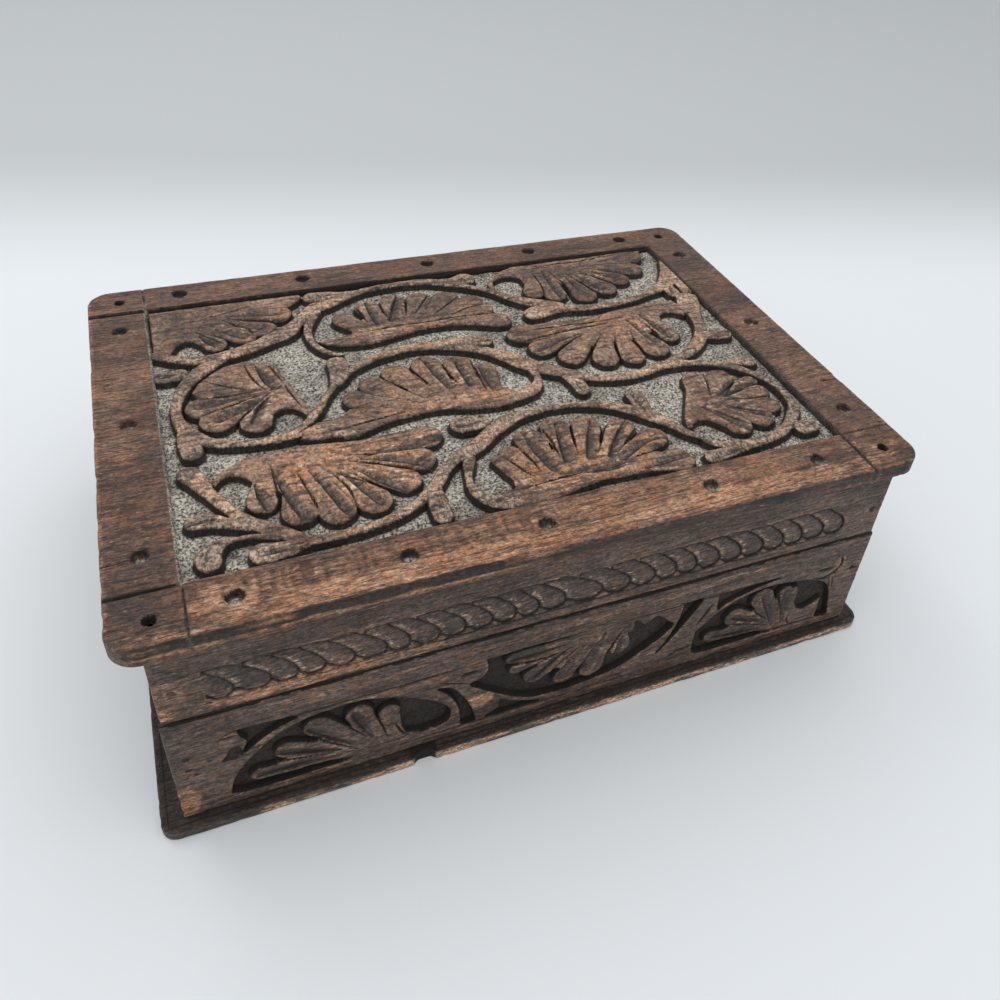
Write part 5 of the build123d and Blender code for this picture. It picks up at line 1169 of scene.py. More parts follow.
def cut_off(obj, name, x):
    """Cuts an object in two at x and returns the part on the right as an object of its own."""
    right = add_object(name, obj.data.copy())
    for part, drop in ((obj, {"clear_outer": True}), (right, {"clear_inner": True})):
        shape = bmesh.new()
        shape.from_mesh(part.data)
        found = bmesh.ops.bisect_plane(
            shape, geom=shape.verts[:] + shape.edges[:] + shape.faces[:], plane_co=(x * MM, 0, 0), plane_no=(1, 0, 0),
            dist=1e-7, **drop)
        edges = [item for item in found["geom_cut"] if isinstance(item, bmesh.types.BMEdge)]
        bmesh.ops.edgeloop_fill(shape, edges=edges)
        shape.to_mesh(part.data)
        shape.free()
    return right


def vertex_places(mesh):
    """The x, y and z of the mesh's vertices in millimetres."""
    places = np.empty(len(mesh.vertices) * 3, np.float32)
    mesh.vertices.foreach_get("co", places)
    return (places.reshape(-1, 3) / MM).T


def write_masks(mesh, masks, shown):
    """Stores each mask on the vertices, for the finish to read."""
    for name, values in masks.items():
        attribute = mesh.attributes.new(name, "FLOAT", "POINT")
        attribute.data.foreach_set("value", np.where(shown, values, 0).astype(np.float32))


def mark_walls(mesh, toward, low, high, within=None):
    """Stores which faces stand steeply between two levels along an axis, so that the finish can paint them near black
    as shade with grime.
    """
    normals, centres = np.empty((2, len(mesh.polygons) * 3), np.float32)
    mesh.polygon_normals.foreach_get("vector", normals)
    mesh.polygons.foreach_get("center", centres)
    centres = centres.reshape(-1, 3) / MM
    level = centres @ toward
    steep = (normals.reshape(-1, 3) @ toward < 0.55) & (level > low) & (level < high)
    if within:
        steep &= (np.abs(centres[:, 0]) < within[0]) & (np.abs(centres[:, 1]) < within[1])
    attribute = mesh.attributes.new("wall", "FLOAT", "FACE")
    attribute.data.foreach_set("value", steep.astype(np.float32))


def set_finish(obj, material):
    obj.data.materials.clear()
    obj.data.materials.append(material)


def finish_piece(obj, body, material, nodes):
    """Gives a piece its finish and its body, and hides the imported parts that it stands for."""
    set_finish(obj, material)
    obj.data.shade_smooth()
    obj.data.set_sharp_from_angle(angle=math.radians(55))
    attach(obj, body)
    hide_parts(*nodes)

# ---- Finishes ----

class Wiring:
    """Adds nodes to a tree and joins them up."""

    def __init__(self, tree):
        self.tree = tree

    def join(self, value, socket):
        """Links a socket to the input, or sets a plain value on it."""
        if isinstance(value, bpy.types.NodeSocket):
            self.tree.links.new(value, socket)
        else:
            socket.default_value = value

    def add(self, kind, inputs=None, **settings):
        """A new node with its settings, and with values or sockets on its inputs."""
        node = self.tree.nodes.new(kind)
        for key, value in settings.items():
            setattr(node, key, value)
        for key, value in (inputs or {}).items():
            self.join(value, node.inputs[key])
        return node

    def get(self, kind, inputs, output=0, **settings):
        """One output of a new node."""
        return self.add(kind, inputs, **settings).outputs[output]

    def math(self, operation, a, b, clamp=False):
        return self.get("ShaderNodeMath", {0: a, 1: b}, operation=operation, use_clamp=clamp)

    def times(self, a, b, clamp=False):
        return self.math("MULTIPLY", a, b, clamp)

    def plus(self, a, b, clamp=False):
        return self.math("ADD", a, b, clamp)

    def most(self, a, b, clamp=False):
        return self.math("MAXIMUM", a, b, clamp)

    def spread(self, value, low, high, to_low=0.0, to_high=1.0):
        """The value moved from one range to another, and kept inside it."""
        inputs = dict(enumerate((value, low, high, to_low, to_high)))
        return self.get("ShaderNodeMapRange", inputs, interpolation_type="SMOOTHSTEP")

    def stretched(self, vector, along, across):
        return self.get("ShaderNodeMapping", {"Vector": vector, "Scale": (along, across, across)})

    def noise(self, vector, scale, detail, roughness, distortion=0.0):
        return self.get("ShaderNodeTexNoise", {"Vector": vector, "Scale": scale, "Detail": detail,
                                               "Roughness": roughness, "Distortion": distortion}, "Fac")

    def blend(self, share, a, b, mode="MIX"):
        return self.get("ShaderNodeMix", {"Factor": share, 6: a, 7: b}, 2, data_type="RGBA", blend_type=mode)

    def bump(self, height, strength, distance):
        return self.get("ShaderNodeBump", {"Strength": strength, "Distance": distance, "Height": height})


def new_group(name, inputs, outputs):
    """A shader node group that takes Vector and the named values: its tree, its wiring and its two ends."""
    tree = bpy.data.node_groups.new(name, "ShaderNodeTree")
    tree.interface.new_socket(name="Vector", in_out="INPUT", socket_type="NodeSocketVector")
    for labels, side in ((inputs, "INPUT"), (outputs, "OUTPUT")):
        for label in labels:
            tree.interface.new_socket(name=label, in_out=side, socket_type="NodeSocketFloat")
    w = Wiring(tree)
    return tree, w, w.add("NodeGroupInput").outputs, w.add("NodeGroupOutput").inputs


def build_grain(name):
    """Walnut grain that runs along X: broad figure, streaks, fine fibres, dark pores, pale scuffs and stains."""
    # For each output: how much finer it is across the grain, its noise, and the range that is spread out of it.
    layers = {
        "Figure": (3.0, (20.0, 4.0, 0.6, 0.6), (0.34, 0.66)),
        "Streak": (9.0, (30.0, 4.0, 0.65, 0.5), (0.36, 0.66)),
        "Fibre": (9.0, (240.0, 5.0, 0.8, 0.3), (0.40, 0.64)),
        "Dash": (14.0, (85.0, 3.0, 0.6, 0.3), (0.52, 0.60)),
        "Pore": (3.0, (400.0, 2.0, 0.6), (0.56, 0.66)),
        "Scuff": (3.0, (330.0, 3.0, 0.7, 0.6), (0.57, 0.68)),
        "Blotch": (1.0, (60.0, 6.0, 0.7, 0.8), (0.5, 0.62)),
        "Mottle": (1.6, (750.0, 4.0, 0.8, 0.4), (0.36, 0.64, 0.52, 1.5)),
        "Warm": (1.0, (110.0, 4.0, 0.65, 0.5), (0.44, 0.6)),
    }
    tree, w, given, ends = new_group(name, (), layers)
    places = {1.0: given["Vector"]}
    for label, (across, noise, limits) in layers.items():
        if across not in places:
            places[across] = w.stretched(given["Vector"], 1.0, across)
        w.join(w.spread(w.noise(places[across], *noise), *limits), ends[label])
    return tree


def build_wear_and_glints(name):
    """Where handling has rubbed the finish off: the crests and the worn zones, broken up by noise; Bright is scuffs
    with painted glints on them.
    """
    tree, w, given, ends = new_group(name, ("Crest", "Rubbed"), ("Worn", "Bright"))
    place, crest, rubbed = (given[label] for label in ("Vector", "Crest", "Rubbed"))
    patchy = w.spread(w.noise(place, 90.0, 5.0, 0.7), 0.42, 0.6)
    streaky = w.noise(w.stretched(place, 1.0, 6.0), 90.0, 4.0, 0.7)
    amount = w.plus(w.times(rubbed, 0.75), w.times(streaky, 0.6))
    streaks = w.times(w.spread(amount, 0.45, 1.05), w.spread(rubbed, 0.02, 0.2))
    w.join(w.most(w.times(w.times(crest, patchy), 0.7), streaks, clamp=True), ends["Worn"])
    glint = w.spread(w.noise(w.stretched(place, 1.0, 3.0), 260.0, 4.0, 0.7), 0.48, 0.60)
    w.join(w.times(glint, w.times(w.plus(rubbed, crest), patchy), clamp=True), ends["Bright"])
    return tree


def build_dust(name):
    """Pale dust packed between punch marks: a mask of where it lies and a speckle for its shade."""
    tree, w, given, ends = new_group(name, ("Ground",), ("Dust", "Speckle"))
    place = given["Vector"]
    fine, coarse = w.noise(place, 1150.0, 3.0, 0.75), w.noise(place, 330.0, 3.0, 0.7)
    w.join(w.spread(w.plus(w.times(fine, 0.75), w.times(coarse, 0.25)), 0.41, 0.59), ends["Speckle"])
    patch = w.spread(w.noise(place, 70.0, 4.0, 0.65), 0.36, 0.58, 0.55, 1.0)
    w.join(w.times(given["Ground"], patch, clamp=True), ends["Dust"])
    return tree


def use_group(w, name, build, **inputs):
    """The outputs of a shared node group, which is built the first time that it is asked for."""
    tree = bpy.data.node_groups.get(name) or build(name)
    return w.add("ShaderNodeGroup", inputs, node_tree=tree).outputs


def colour(values):
    """A shader colour from a property's three values."""
    return (*values, 1.0)


def new_material(name):
    """A new material with its wiring, its shader's inputs and the Object coordinates."""
    material = bpy.data.materials.new(name)
    material.use_nodes = True
    w = Wiring(material.node_tree)
    shader = material.node_tree.nodes["Principled BSDF"]
    return material, w, shader.inputs, w.get("ShaderNodeTexCoord", {}, "Object")


def wood(name, colours, dark, light, along_y=False, carved=False):
    """Old walnut with grain, worn crests, painted shade with grime in its hollows and on its walls, painted glints on
    its crests, and dust on its ground.
    """
    if name in bpy.data.materials:
        return bpy.data.materials[name]
    material, w, shader, place = new_material(name)
    if along_y:
        place = w.get("ShaderNodeMapping", {"Vector": place, "Rotation": (0.0, 0.0, math.radians(90))})
    mask = {label: w.get("ShaderNodeAttribute", {}, "Fac", attribute_name=label)
            for label in ("hollow", "crest", "wall", "ground", "rubbed", "stain_and_shade", "scorch", "pale", "flute")}
    grain_place = w.stretched(place, 1.3, 0.5) if carved else place
    grain = use_group(w, "Walnut grain", build_grain, Vector=grain_place)
    wear = use_group(w, "Edge wear", build_wear_and_glints, Vector=place, Crest=mask["crest"], Rubbed=mask["rubbed"])
    dust = use_group(w, "Packed dust", build_dust, Vector=place, Ground=mask["ground"])
    mottle = grain["Mottle"]
    stain_and_shade, grime_and_shade, scuff_and_highlight, worn_wood, dust_dark, dust_pale = map(colour, (
        colours.stain_and_shade, colours.grime_and_shade, colours.scuff_and_highlight, colours.worn_wood, colours.dust_dark, colours.dust_pale))

    # The old finish: figure and streaks, with grey-brown stains over them, on the lid's edge faces also painted shade,
    # and bare wood where it is worn off.
    tone = w.blend(grain["Figure"], colour(dark), colour(light))
    tone = w.blend(w.times(grain["Streak"], 0.35), tone, colour(light))
    stained = w.times(w.times(mask["stain_and_shade"], 0.85), w.spread(grain["Streak"], 0.0, 1.0, 1.0, 0.6))
    tone = w.blend(w.most(stained, w.times(grain["Blotch"], 0.25 if carved else 0.5)), tone, stain_and_shade)
    tone = w.blend(w.times(wear["Worn"], 0.85), tone, worn_wood)
    # Fibres darken the tone and warm patches redden it.
    for share, tint in ((w.times(grain["Fibre"], 0.4 if carved else 0.55), (0.28, 0.22, 0.20)),
                        (w.times(grain["Warm"], 0.7), (1.22, 0.98, 0.78))):
        tone = w.blend(share, tone, w.blend(1.0, tone, colour(tint), "MULTIPLY"))
    # Flutes and the rims that face the front take the stain colour as painted shade; rubbed places and crests get
    # scuffs with painted glints in the scuff colour, and pale places get it as scuffs and, on the rail, as painted
    # highlights.
    tone = w.blend(w.times(mask["flute"], w.spread(mottle, 0.6, 1.5, 1.0, 0.8)), tone, stain_and_shade)
    tone = w.blend(w.times(wear["Bright"], 0.6 if carved else 0.35), tone, scuff_and_highlight)
    paled = w.times(mask["pale"], w.spread(mottle, 0.6, 1.5, 0.04, 0.3 if carved else 0.5))
    tone = w.blend(w.most(w.times(grain["Scuff"], 0.15), paled), tone, scuff_and_highlight)
    for share in (w.times(grain["Pore"], 0.6), w.times(grain["Dash"], 0.62)):
        tone = w.blend(share, tone, grime_and_shade)
    tone = w.blend(1.0, tone, mottle, "MULTIPLY")
    # The grime colour covers the charred edge, and it covers the hollows and the walls as painted shade with grime;
    # dust lies over it all.
    for share in (w.times(mask["scorch"], w.spread(mottle, 0.52, 1.5, 1.02, 0.9)),
                  w.times(mask["hollow"], 0.94), w.times(mask["wall"], 0.98)):
        tone = w.blend(share, tone, grime_and_shade)
    tone = w.blend(dust["Dust"], tone, w.blend(dust["Speckle"], dust_dark, dust_pale))
    w.join(tone, shader["Base Color"])

    dull = w.times(w.most(dust["Dust"], mask["hollow"]), 0.35)
    w.join(w.plus(w.spread(grain["Fibre"], 0.0, 1.0, 0.46, 0.62), dull, clamp=True), shader["Roughness"])
    w.join(0.4, shader["Specular IOR Level"])
    height = w.plus(w.times(grain["Fibre"], -0.5), w.times(dust["Speckle"], dust["Dust"]))
    height = w.math("SUBTRACT", height, w.times(grain["Pore"], 0.6))
    w.join(w.bump(w.plus(height, w.times(grain["Scuff"], 0.4)), 0.6, 0.0003), shader["Normal"])
    return material


def metal(name, base, tarnish, roughness):
    """Old metal: a dull skin with brighter rubbed patches."""
    material, w, shader, place = new_material(name)
    patches = w.noise(place, 260.0, 5.0, 0.65)
    w.join(w.blend(w.spread(patches, 0.35, 0.65), colour(base), colour(tarnish)), shader["Base Color"])
    w.join(w.spread(patches, 0.3, 0.7, roughness, roughness + 0.3), shader["Roughness"])
    w.join(1.0, shader["Metallic"])
    w.join(w.bump(w.noise(place, 900.0, 3.0, 0.6), 0.35, 0.0002), shader["Normal"])
    return material


def floor_finish(colours):
    """A matt, pale floor with painted shade that makes it a little darker toward the back."""
    material, w, shader, place = new_material("pale_floor")
    parts = w.add("ShaderNodeSeparateXYZ", {0: place}).outputs
    away = w.spread(w.plus(w.times(parts["X"], 0.25), parts["Y"]), 0.2, 0.42)
    w.join(w.blend(away, colour(colours.floor), colour(colours.floor_back_shaded)), shader["Base Color"])
    w.join(0.9, shader["Roughness"])
    w.join(0.2, shader["Specular IOR Level"])
    return material


# ---- Nails and screws ----

def new_tree(name, lengths):
    """A Geometry Nodes tree that takes points, lengths and a finish, with its wiring, its inputs and its output."""
    tree = bpy.data.node_groups.new(name, "GeometryNodeTree")
    tree.interface.new_socket(name="Points", in_out="INPUT", socket_type="NodeSocketGeometry")
    for label, value in lengths.items():
        socket = tree.interface.new_socket(name=label, in_out="INPUT", socket_type="NodeSocketFloat")
        socket.default_value, socket.min_value = value, 0.0
    tree.interface.new_socket(name="Finish", in_out="INPUT", socket_type="NodeSocketMaterial")
    tree.interface.new_socket(name="Geometry", in_out="OUTPUT", socket_type="NodeSocketGeometry")
    w = Wiring(tree)
    return tree, w, w.add("NodeGroupInput").outputs, w.add("NodeGroupOutput").inputs[0]


def lowered(w, geometry, length, share=1.0):
    """The geometry moved down by a share of a length."""
    place = w.get("ShaderNodeCombineXYZ", {"Z": w.times(length, -share)})
    return w.get("GeometryNodeTransform", {"Geometry": geometry, "Translation": place})


def cone(w, sides, top, bottom, depth):
    """A cone or tapered bar that stands on the origin."""
    return w.get("GeometryNodeMeshCone", {"Vertices": sides, "Radius Top": top, "Radius Bottom": bottom,
                                          "Depth": depth}, "Mesh")


def finish_tree(w, given, end, parts, seed):
    """Stands the joined parts on every point, turned to the point's outward direction and by chance about it."""
    joined = w.add("GeometryNodeJoinGeometry")
    for part in parts:
        w.join(part, joined.inputs[0])
    outward = w.get("GeometryNodeInputNamedAttribute", {"Name": "outward"}, "Attribute", data_type="FLOAT_VECTOR")
    aim = w.get("FunctionNodeAlignRotationToVector", {"Vector": outward}, axis="Z")
    limits = {2: w.times(given["Turn"], -1.0), 3: given["Turn"], "Seed": seed}
    chance = w.get("FunctionNodeRandomValue", limits, 1, data_type="FLOAT")
    turn = w.get("FunctionNodeEulerToRotation", {0: w.get("ShaderNodeCombineXYZ", {"Z": chance})})
    both = w.get("FunctionNodeRotateRotation", {0: aim, 1: turn}, rotation_space="LOCAL")
    spread = w.get("GeometryNodeInstanceOnPoints", {
        "Points": given["Points"], "Instance": joined.outputs[0], "Rotation": both})
    real = w.get("GeometryNodeRealizeInstances", {0: spread})
    w.join(w.get("GeometryNodeSetMaterial", {"Geometry": real, "Material": given["Finish"]}), end)


def nail_tree(name):
    """Square cut nails with low faceted heads."""
    tree, w, given, end = new_tree(name, {
        "Head Width": 0.002, "Head Height": 0.0007, "Shank Width": 0.0013, "Length": 0.018, "Turn": 0.2})
    tall, length, corner = given["Head Height"], given["Length"], math.sqrt(0.5)
    half = w.times(given["Head Width"], corner)
    head = cone(w, 4, w.times(half, 0.55), half, w.times(tall, 0.6))
    collar = cone(w, 4, half, half, w.times(tall, 0.4))
    shank = cone(w, 4, w.times(given["Shank Width"], corner), 0.0002, length)
    finish_tree(w, given, end, (lowered(w, head, tall, 0.6), lowered(w, collar, tall), lowered(w, shank, length)), 5)
    return tree


def screw_tree(name):
    """Countersunk wood screws with a slot across their heads."""
    tree, w, given, end = new_tree(name, {
        "Head Radius": 0.0019, "Head Height": 0.0009, "Shank Radius": 0.0009, "Length": 0.009,
        "Slot Width": 0.00045, "Slot Depth": 0.00045, "Turn": 1.2})
    radius, thin, tall, length = (given[label] for label in ("Head Radius", "Shank Radius", "Head Height", "Length"))
    head = lowered(w, cone(w, 32, radius, thin, tall), tall)
    size = w.get("ShaderNodeCombineXYZ", {
        "X": w.times(radius, 2.4), "Y": given["Slot Width"], "Z": w.times(given["Slot Depth"], 2.0)})
    slot = w.get("GeometryNodeMeshCube", {"Size": size})
    slotted = w.get("GeometryNodeMeshBoolean", {"Mesh 1": head, "Mesh 2": slot}, operation="DIFFERENCE")
    shank = lowered(w, cone(w, 16, thin, 0.0001, length), length)
    finish_tree(w, given, end, (slotted, lowered(w, shank, given["Slot Depth"], 1.2)), 9)
    return tree


def scatter(name, tree, points, values):
    """The tree's piece on each (x, y, z, direction out of the wood), as plain mesh."""
    mesh = bpy.data.meshes.new(name)
    mesh.from_pydata([tuple(value * MM for value in point[:3]) for point in points], [], [])
    outward = mesh.attributes.new("outward", "FLOAT_VECTOR", "POINT")
    outward.data.foreach_set("vector", [float(value) for point in points for value in point[3]])
    obj = add_object(name, mesh)
    modifier = obj.modifiers.new(tree.name, "NODES")
    modifier.node_group = tree
    for socket in tree.interface.items_tree:
        if socket.item_type == "SOCKET" and socket.in_out == "INPUT" and socket.name in values:
            modifier[socket.identifier] = values[socket.name]
    settle(obj)
    return obj


# ---- Sizes and colours that a user would change ----

def rgb(label, text, default):
    return FloatVectorProperty(name=label, description=text, default=default, subtype="COLOR", size=3, min=0.0, max=1.0)


def length(label, text, default):
    return FloatProperty(name=label, description=text, default=default, unit="LENGTH", min=0.0, precision=4)


class KeepsakeBoxSizes(bpy.types.PropertyGroup):
    """Depths of the carving and sizes of the fastenings."""
    carving_depth: length("Carving depth", "How far the lid's ground lies below its top", 0.003)
    front_depth: length("Front carving depth", "How far the front board's ground lies below its face", 0.0025)
    gouge_depth: length("Gouge depth", "Deepest point of the gouge marks in the leaves", 0.0013)
    nail_width: length("Nail width", "Width of a nail's square head", 0.002)
    slot_width: length("Screw slot", "Width of the slot in a screw's head", 0.00045)


class KeepsakeBoxColours(bpy.types.PropertyGroup):
    """Colours of the wood, metal and floor."""
    border_dark: rgb("Border, dark grain", "Dark grain of the lid's border", (0.090, 0.042, 0.026))
    border_light: rgb("Border, light grain", "Light grain of the lid's border", (0.25, 0.130, 0.080))
    carving_dark: rgb("Carving, dark grain", "Dark grain of the carved forms", (0.115, 0.067, 0.048))
    carving_light: rgb("Carving, light grain", "Light grain of the carved forms", (0.38, 0.235, 0.160))
    # The upright boards and the base take darker colours than the lid's top: dark dirty wood with painted shade of
    # faces that do not look up.
    front_dark: rgb("Front, dark grain", "Dark grain of the front boards", (0.070, 0.048, 0.039))
    front_light: rgb("Front, light grain", "Light grain of the front boards", (0.17, 0.118, 0.092))
    worn_wood: rgb("Worn wood", "Wood where the old finish is rubbed away", (0.50, 0.260, 0.140))
    # The scuff colour also paints glints and highlights.
    scuff_and_highlight: rgb("Scuffs", "Pale scratches and rubbed high spots", (0.86, 0.66, 0.49))
    # The stain colour is also painted shade: in the flutes and on the rims that face the front.
    stain_and_shade: rgb("Stain", "Grey-brown patches of old polish", (0.054, 0.041, 0.037))
    # The grime colour is also painted shade: in cuts and hollows, on the carving's walls and at their foot.
    grime_and_shade: rgb("Grime", "Old polish and dirt in hollows and cuts", (0.011, 0.0075, 0.006))
    dust_pale: rgb("Dust, pale", "Lightest specks of the dust on the ground", (0.74, 0.68, 0.58))
    dust_dark: rgb("Dust, dark", "Darkest specks of the dust on the ground", (0.060, 0.048, 0.036))
    brass: rgb("Brass", "Bright brass of the hinges", (0.46, 0.30, 0.12))
    brass_tarnish: rgb("Tarnish", "Dull brown skin on the brass", (0.12, 0.07, 0.03))
    iron: rgb("Iron", "Iron of the nails", (0.09, 0.08, 0.075))
    rust: rgb("Rust", "Brown skin on the nails", (0.05, 0.028, 0.018))
    floor: rgb("Floor", "The surface that the box stands on", (0.83, 0.855, 0.87))
    # Painted shade: the flat floor is blended toward this colour farther back.
    floor_back_shaded: rgb("Floor, far off", "The surface farther back, where it bends up", (0.56, 0.58, 0.585))


def settings():
    return bpy.context.scene.keepsake_box_sizes, bpy.context.scene.keepsake_box_colours


def front_piece(name, carving, level, seed, triangles, depth):
    """A carved board that looks to the front, with its masks written on the given depth of it."""
    face, height, edge, masks = carving
    obj = add_object(name, carved_board_mesh(name, face, height, edge, level, seed))
    thin_out(obj, triangles)
    x, y, z = vertex_places(obj.data)
    write_masks(obj.data, face.sample(masks, x, z), y < level + depth)
    return obj


# ---- Operators, one for each piece or group of like pieces ----

class PieceBuilder:
    """What the operators share: each builds its piece from the scene's sizes and colours."""

    def execute(self, context):
        self.build(*settings())
        return {"FINISHED"}


class KeepsakeBoxLidCarving(PieceBuilder, bpy.types.Operator):
    """Carve the lid's field of vines, buds and leaves"""
    bl_idname = "keepsake_box.lid_carving"
    bl_label = "Carved Lid Field"

    def build(self, sizes, colours):
        face, height, edge, masks = carved_field(sizes)
        left = add_object("lid_carving_left", lid_field_mesh(face, height, edge))
        thin_out(left, FIELD_TRIANGLES)
        finish = wood("carved_walnut", colours, colours.carving_dark, colours.carving_light, carved=True)
        for obj in (left, cut_off(left, "lid_carving_right", 0.0)):
            x, y, z = vertex_places(obj.data)
            found = face.sample(masks, x, y)
            found["rubbed"] = zones(x, y, LID_RUBBED, 51) * (1 - 0.8 * found["flute"])
            found["stain_and_shade"] = zones(x, y, LID_STAINED, 53)
            write_masks(obj.data, found, z > FIELD_FLOOR + 0.5)
            mark_walls(obj.data, (0, 0, 1), 79.0, 82.9)
            finish_piece(obj, "lid", finish, ["lid_panel"])


class KeepsakeBoxLidBorder(PieceBuilder, bpy.types.Operator):
    """Make the lid board's border with its pits, marking grooves and worn edge"""
    bl_idname = "keepsake_box.lid_border"
    bl_label = "Lid Border"

    def build(self, sizes, colours):
        obj = add_object("lid_border", lid_border_mesh())
        x, y, z = vertex_places(obj.data)
        _, found = border_surface(x, y)
        edge = np.minimum(LID_HALF[0] - np.abs(x), LID_HALF[1] - np.abs(y))
        rubbed = np.maximum(zones(x, y, BORDER_RUBBED, 55), 0.55 * (1 - ramp(edge, 0.8, 2.2)))
        front, top = 1 - ramp(y, -87.9, -87.0), ramp(z, 82.0, 82.6)
        # The front edge is charred: on the left above a bare strip along its foot, and half as dark on the right.
        left = 1 - ramp(x, -34, 18)
        charred = left * ramp(z + 0.4 * smooth_noise(x, z, 3.0, 60), 79.3, 80.2)
        charred += 0.5 * (1 - left) * (1 - ramp(z, 82.0, 82.8))
        ragged = 1 - ramp(y + 0.35 * smooth_noise(x, y, 2.5, 61), -87.3, -86.5)
        patchy = 0.55 + 0.6 * smooth_noise(x, z * 3, 9.0, 59)
        found["scorch"] = np.clip(ragged * charred * patchy * 2.4, 0, 0.98)
        # The lid's edge faces below the top, except the left of the front, take the stain colour: painted shade with
        # old stain.
        side = np.maximum(front, 1 - ramp(edge, 0.1, 0.5)) * (1 - top)
        found["stain_and_shade"] = np.maximum(zones(x, y, BORDER_STAINED, 57), side * (1 - left * front))
        found["rubbed"] = rubbed * top + (1 - top) * 0.8 * left * front
        write_masks(obj.data, found, z > LID_UNDERSIDE + 0.4)
        mark_walls(obj.data, (0, 0, 1), 78.2, 82.9, within=(122, 85))
        finish = wood("border_walnut", colours, colours.border_dark, colours.border_light)
        finish_piece(obj, "lid", finish, ["lid_panel"])


class KeepsakeBoxLidRail(PieceBuilder, bpy.types.Operator):
    """Carve the row of scales along the lid's front rail"""
    bl_idname = "keepsake_box.lid_rail"
    bl_label = "Scale Rail"

    def build(self, sizes, colours):
        obj = front_piece("lid_scale_rail", carved_lid_rail(), RAIL_FACE, 61, RAIL_TRIANGLES, 2.5)
        finish = wood("front_walnut", colours, colours.front_dark, colours.front_light)
        finish_piece(obj, "lid", finish, ["lid_front_rail"])


class KeepsakeBoxFrontBoard(PieceBuilder, bpy.types.Operator):
    """Carve the box's front board"""
    bl_idname = "keepsake_box.front_board"
    bl_label = "Front Board"

    def build(self, sizes, colours):
        obj = front_piece("box_carved_front", carved_front_board(sizes), BOARD_FACE, 71, FRONT_TRIANGLES, 3.2)
        mark_walls(obj.data, (0, -1, 0), 82.4, 85.2)
        finish = wood("front_walnut", colours, colours.front_dark, colours.front_light)
        finish_piece(obj, "box", finish, ["front_board"])


class KeepsakeBoxBase(PieceBuilder, bpy.types.Operator):
    """Make the base board with its worn and broken edge"""
    bl_idname = "keepsake_box.base"
    bl_label = "Base"

    def build(self, sizes, colours):
        obj = add_object("base_worn", base_mesh())
        x, y, z = vertex_places(obj.data)
        out = np.maximum(np.abs(x) - BASE_HALF[0], np.abs(y) - BASE_HALF[1])
        front = 1 - ramp(y, -88.2, -87.6)
        bare = ramp(x, -100, -92) * (1 - ramp(z, 3.0, 3.7)) * front
        patchy = ramp(smooth_noise(x, z * 3, 7.0, 84), -0.9, 0.1)
        at_walls = np.exp(-((out + 2.3) / 0.35) ** 2) * (z > 3.9)
        in_notch = (np.abs(x - BASE_NOTCH) < 4) & (y < -84) & (y > -88.6)
        found = {
            "rubbed": bare * patchy * (1 - 0.35 * ramp(x, 40, 90)),
            "pale": 0.9 * bare * patchy,
            # Painted shade on the top of the edge, in the joint with the walls and in the broken notch.
            "hollow": np.maximum.reduce([0.45 * ramp(z, 3.2, 3.9), at_walls, in_notch]),
            "stain_and_shade": 1 - bare,
        }
        write_masks(obj.data, found, True)
        finish = wood("base_walnut", colours, colours.front_dark, colours.front_light)
        finish_piece(obj, "box", finish, ["base_board"])


class KeepsakeBoxPlainBoards(PieceBuilder, bpy.types.Operator):
    """Finish the plain boards and rails"""
    bl_idname = "keepsake_box.plain_boards"
    bl_label = "Plain Boards"

    def build(self, sizes, colours):
        dark, light = colours.front_dark, colours.front_light
        across = wood("front_walnut", colours, dark, light)
        side = wood("side_walnut", colours, dark, light, along_y=True)
        for finish, labels in ((across, ("lid_back_rail", "back_board")),
                               (side, ("lid_left_rail", "lid_right_rail", "left_board", "right_board"))):
            for label in labels:
                set_finish(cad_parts[label], finish)


class KeepsakeBoxNails(PieceBuilder, bpy.types.Operator):
    """Drive the nails of the lid and of the box"""
    bl_idname = "keepsake_box.nails"
    bl_label = "Nails"

    def build(self, sizes, colours):
        iron = metal("old_iron", colours.iron, colours.rust, 0.55)
        tree = nail_tree("Cut nails")
        up, down, to_front, to_back = (0, 0, 1), (0, 0, -1), (0, -1, 0), (0, 1, 0)
        sides = (-1, 1)
        lid = [(a * 114.0, b * 79.0, 81.2, up) for a in sides for b in sides]
        box = []
        for points, place, front in ((lid, STOPPED_NAILS["lid"], -84.0), (box, STOPPED_NAILS["box"], -84.5)):
            for a in sides:
                points += [(a * place[0], front, place[1], to_front), (a * place[0], 84.0, place[1], to_back)]
        box += [(x, y, 0.5, down) for x in (-88.0, -29.333, 29.333, 88.0) for y in (-81.0, 80.5)]
        box += [(x, y, 0.5, down) for x in (-113.5, 113.5) for y in (-55.0, 55.0)]
        for body, points, long, nodes in (("lid", lid, 0.018, ["lid_panel_nails", "lid_corner_nails"]),
                                          ("box", box, 0.016, ["box_corner_nails", "base_nails"])):
            values = {"Head Width": sizes.nail_width, "Length": long, "Finish": iron}
            finish_piece(scatter(body + "_cut_nails", tree, points, values), body, iron, nodes)


class KeepsakeBoxHinges(PieceBuilder, bpy.types.Operator):
    """Finish the hinges and put in their slotted screws"""
    bl_idname = "keepsake_box.hinges"
    bl_label = "Hinges and Screws"

    def build(self, sizes, colours):
        brass = metal("old_brass", colours.brass, colours.brass_tarnish, 0.32)
        for label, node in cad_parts.items():
            if label.startswith("hinge_"):
                set_finish(node, brass)
        tree = screw_tree("Slotted screws")
        for body, level, outward in SCREW_LEVELS:
            points = [(x, SCREW_LINE, level, outward) for x in (-82.5, -67.5, 67.5, 82.5)]
            obj = scatter(body + "_slotted_screws", tree, points, {"Slot Width": sizes.slot_width, "Finish": brass})
            finish_piece(obj, body, brass, [body + "_hinge_screws"])


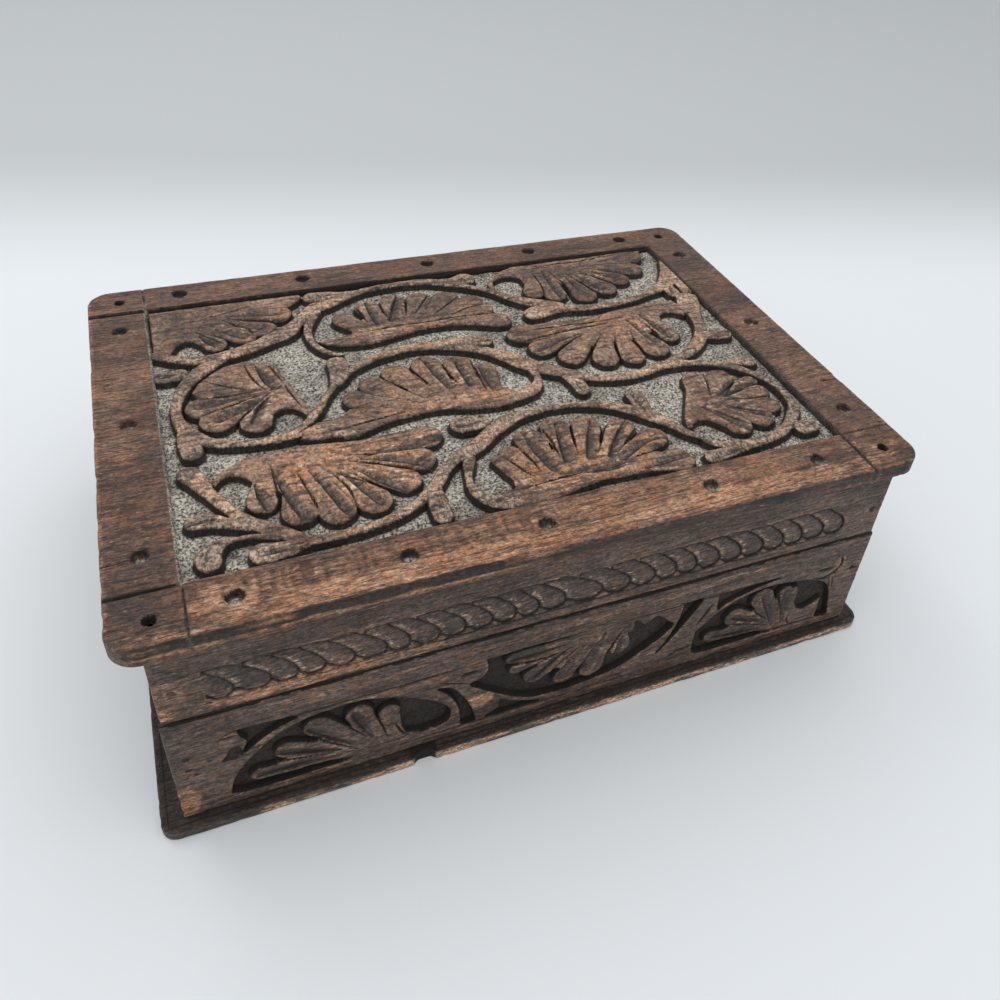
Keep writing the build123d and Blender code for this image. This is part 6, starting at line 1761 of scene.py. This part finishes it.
class KeepsakeBoxStage(PieceBuilder, bpy.types.Operator):
    """Set up the floor, the soft studio light and the camera"""
    bl_idname = "keepsake_box.stage"
    bl_label = "Stage"

    def build(self, sizes, colours):
        scene = bpy.context.scene
        scene.view_settings.view_transform = "Standard"
        mesh = bpy.data.meshes.new("floor")
        mesh.from_pydata([(-4, -4, 0), (4, -4, 0), (4, 4, 0), (-4, 4, 0)], [], [(0, 1, 2, 3)])
        mesh.materials.append(floor_finish(colours))
        floor = add_object("floor", mesh)

        scene.world = bpy.data.worlds.new("studio")
        scene.world.use_nodes = True
        sky = scene.world.node_tree.nodes["Background"].inputs
        sky["Color"].default_value, sky["Strength"].default_value = (0.95, 0.975, 1.0, 1.0), 0.76
        for label, place, size, energy in (("Key", (-0.35, 0.60, 0.95), 0.5, 1.5),
                                           ("Top", (0.0, -0.15, 1.2), 1.2, 3.6)):
            lamp = bpy.data.lights.new(label, "AREA")
            lamp.energy, lamp.size = energy, size
            light = add_object(label, lamp)
            light.location = place
            light.rotation_mode = "QUATERNION"
            light.rotation_quaternion = Vector(place).to_track_quat("Z", "Y")

        eye, target, roll = Vector((-94.73, -249.94, 268.6)) * MM, Vector((38.93, 31.48, 40.0)) * MM, -0.092
        ahead = (target - eye).normalized()
        right = ahead.cross(Vector((0, 0, 1))).normalized()
        down = ahead.cross(right)
        across = math.cos(roll) * right + math.sin(roll) * down
        below = math.cos(roll) * down - math.sin(roll) * right
        lens = bpy.data.cameras.new("Camera")
        lens.sensor_width, lens.lens = 36.0, 33.222
        lens.shift_x, lens.shift_y = -0.039, -0.101
        lens.clip_start, lens.clip_end = 0.01, 20.0
        scene.camera = add_object("Camera", lens)
        turn = Matrix((across, -below, -ahead)).transposed()
        scene.camera.matrix_world = Matrix.Translation(eye) @ turn.to_4x4()


class KeepsakeBoxPanel(bpy.types.Panel):
    """Lists the box's pieces, sizes and colours"""
    bl_idname = "VIEW3D_PT_keepsake_box"
    bl_label = "Keepsake Box"
    bl_space_type = "VIEW_3D"
    bl_region_type = "UI"
    bl_category = "Keepsake Box"

    def draw(self, context):
        for group in settings():
            box = self.layout.box()
            for label in group.__annotations__:
                box.prop(group, label)
        for operator in OPERATORS:
            self.layout.operator(operator.bl_idname)


OPERATORS = (
    KeepsakeBoxStage, KeepsakeBoxLidCarving, KeepsakeBoxLidBorder, KeepsakeBoxLidRail, KeepsakeBoxFrontBoard,
    KeepsakeBoxBase, KeepsakeBoxPlainBoards, KeepsakeBoxNails, KeepsakeBoxHinges)


def register():
    for item in (KeepsakeBoxSizes, KeepsakeBoxColours, *OPERATORS, KeepsakeBoxPanel):
        bpy.utils.register_class(item)
    bpy.types.Scene.keepsake_box_sizes = PointerProperty(type=KeepsakeBoxSizes)
    bpy.types.Scene.keepsake_box_colours = PointerProperty(type=KeepsakeBoxColours)


def unregister():
    del bpy.types.Scene.keepsake_box_colours
    del bpy.types.Scene.keepsake_box_sizes
    for item in (KeepsakeBoxPanel, *reversed(OPERATORS), KeepsakeBoxColours, KeepsakeBoxSizes):
        bpy.utils.unregister_class(item)


def main():
    register()
    for operator in OPERATORS:
        group, label = operator.bl_idname.split(".")
        getattr(getattr(bpy.ops, group), label)()


if __name__ == "__main__":
    main()
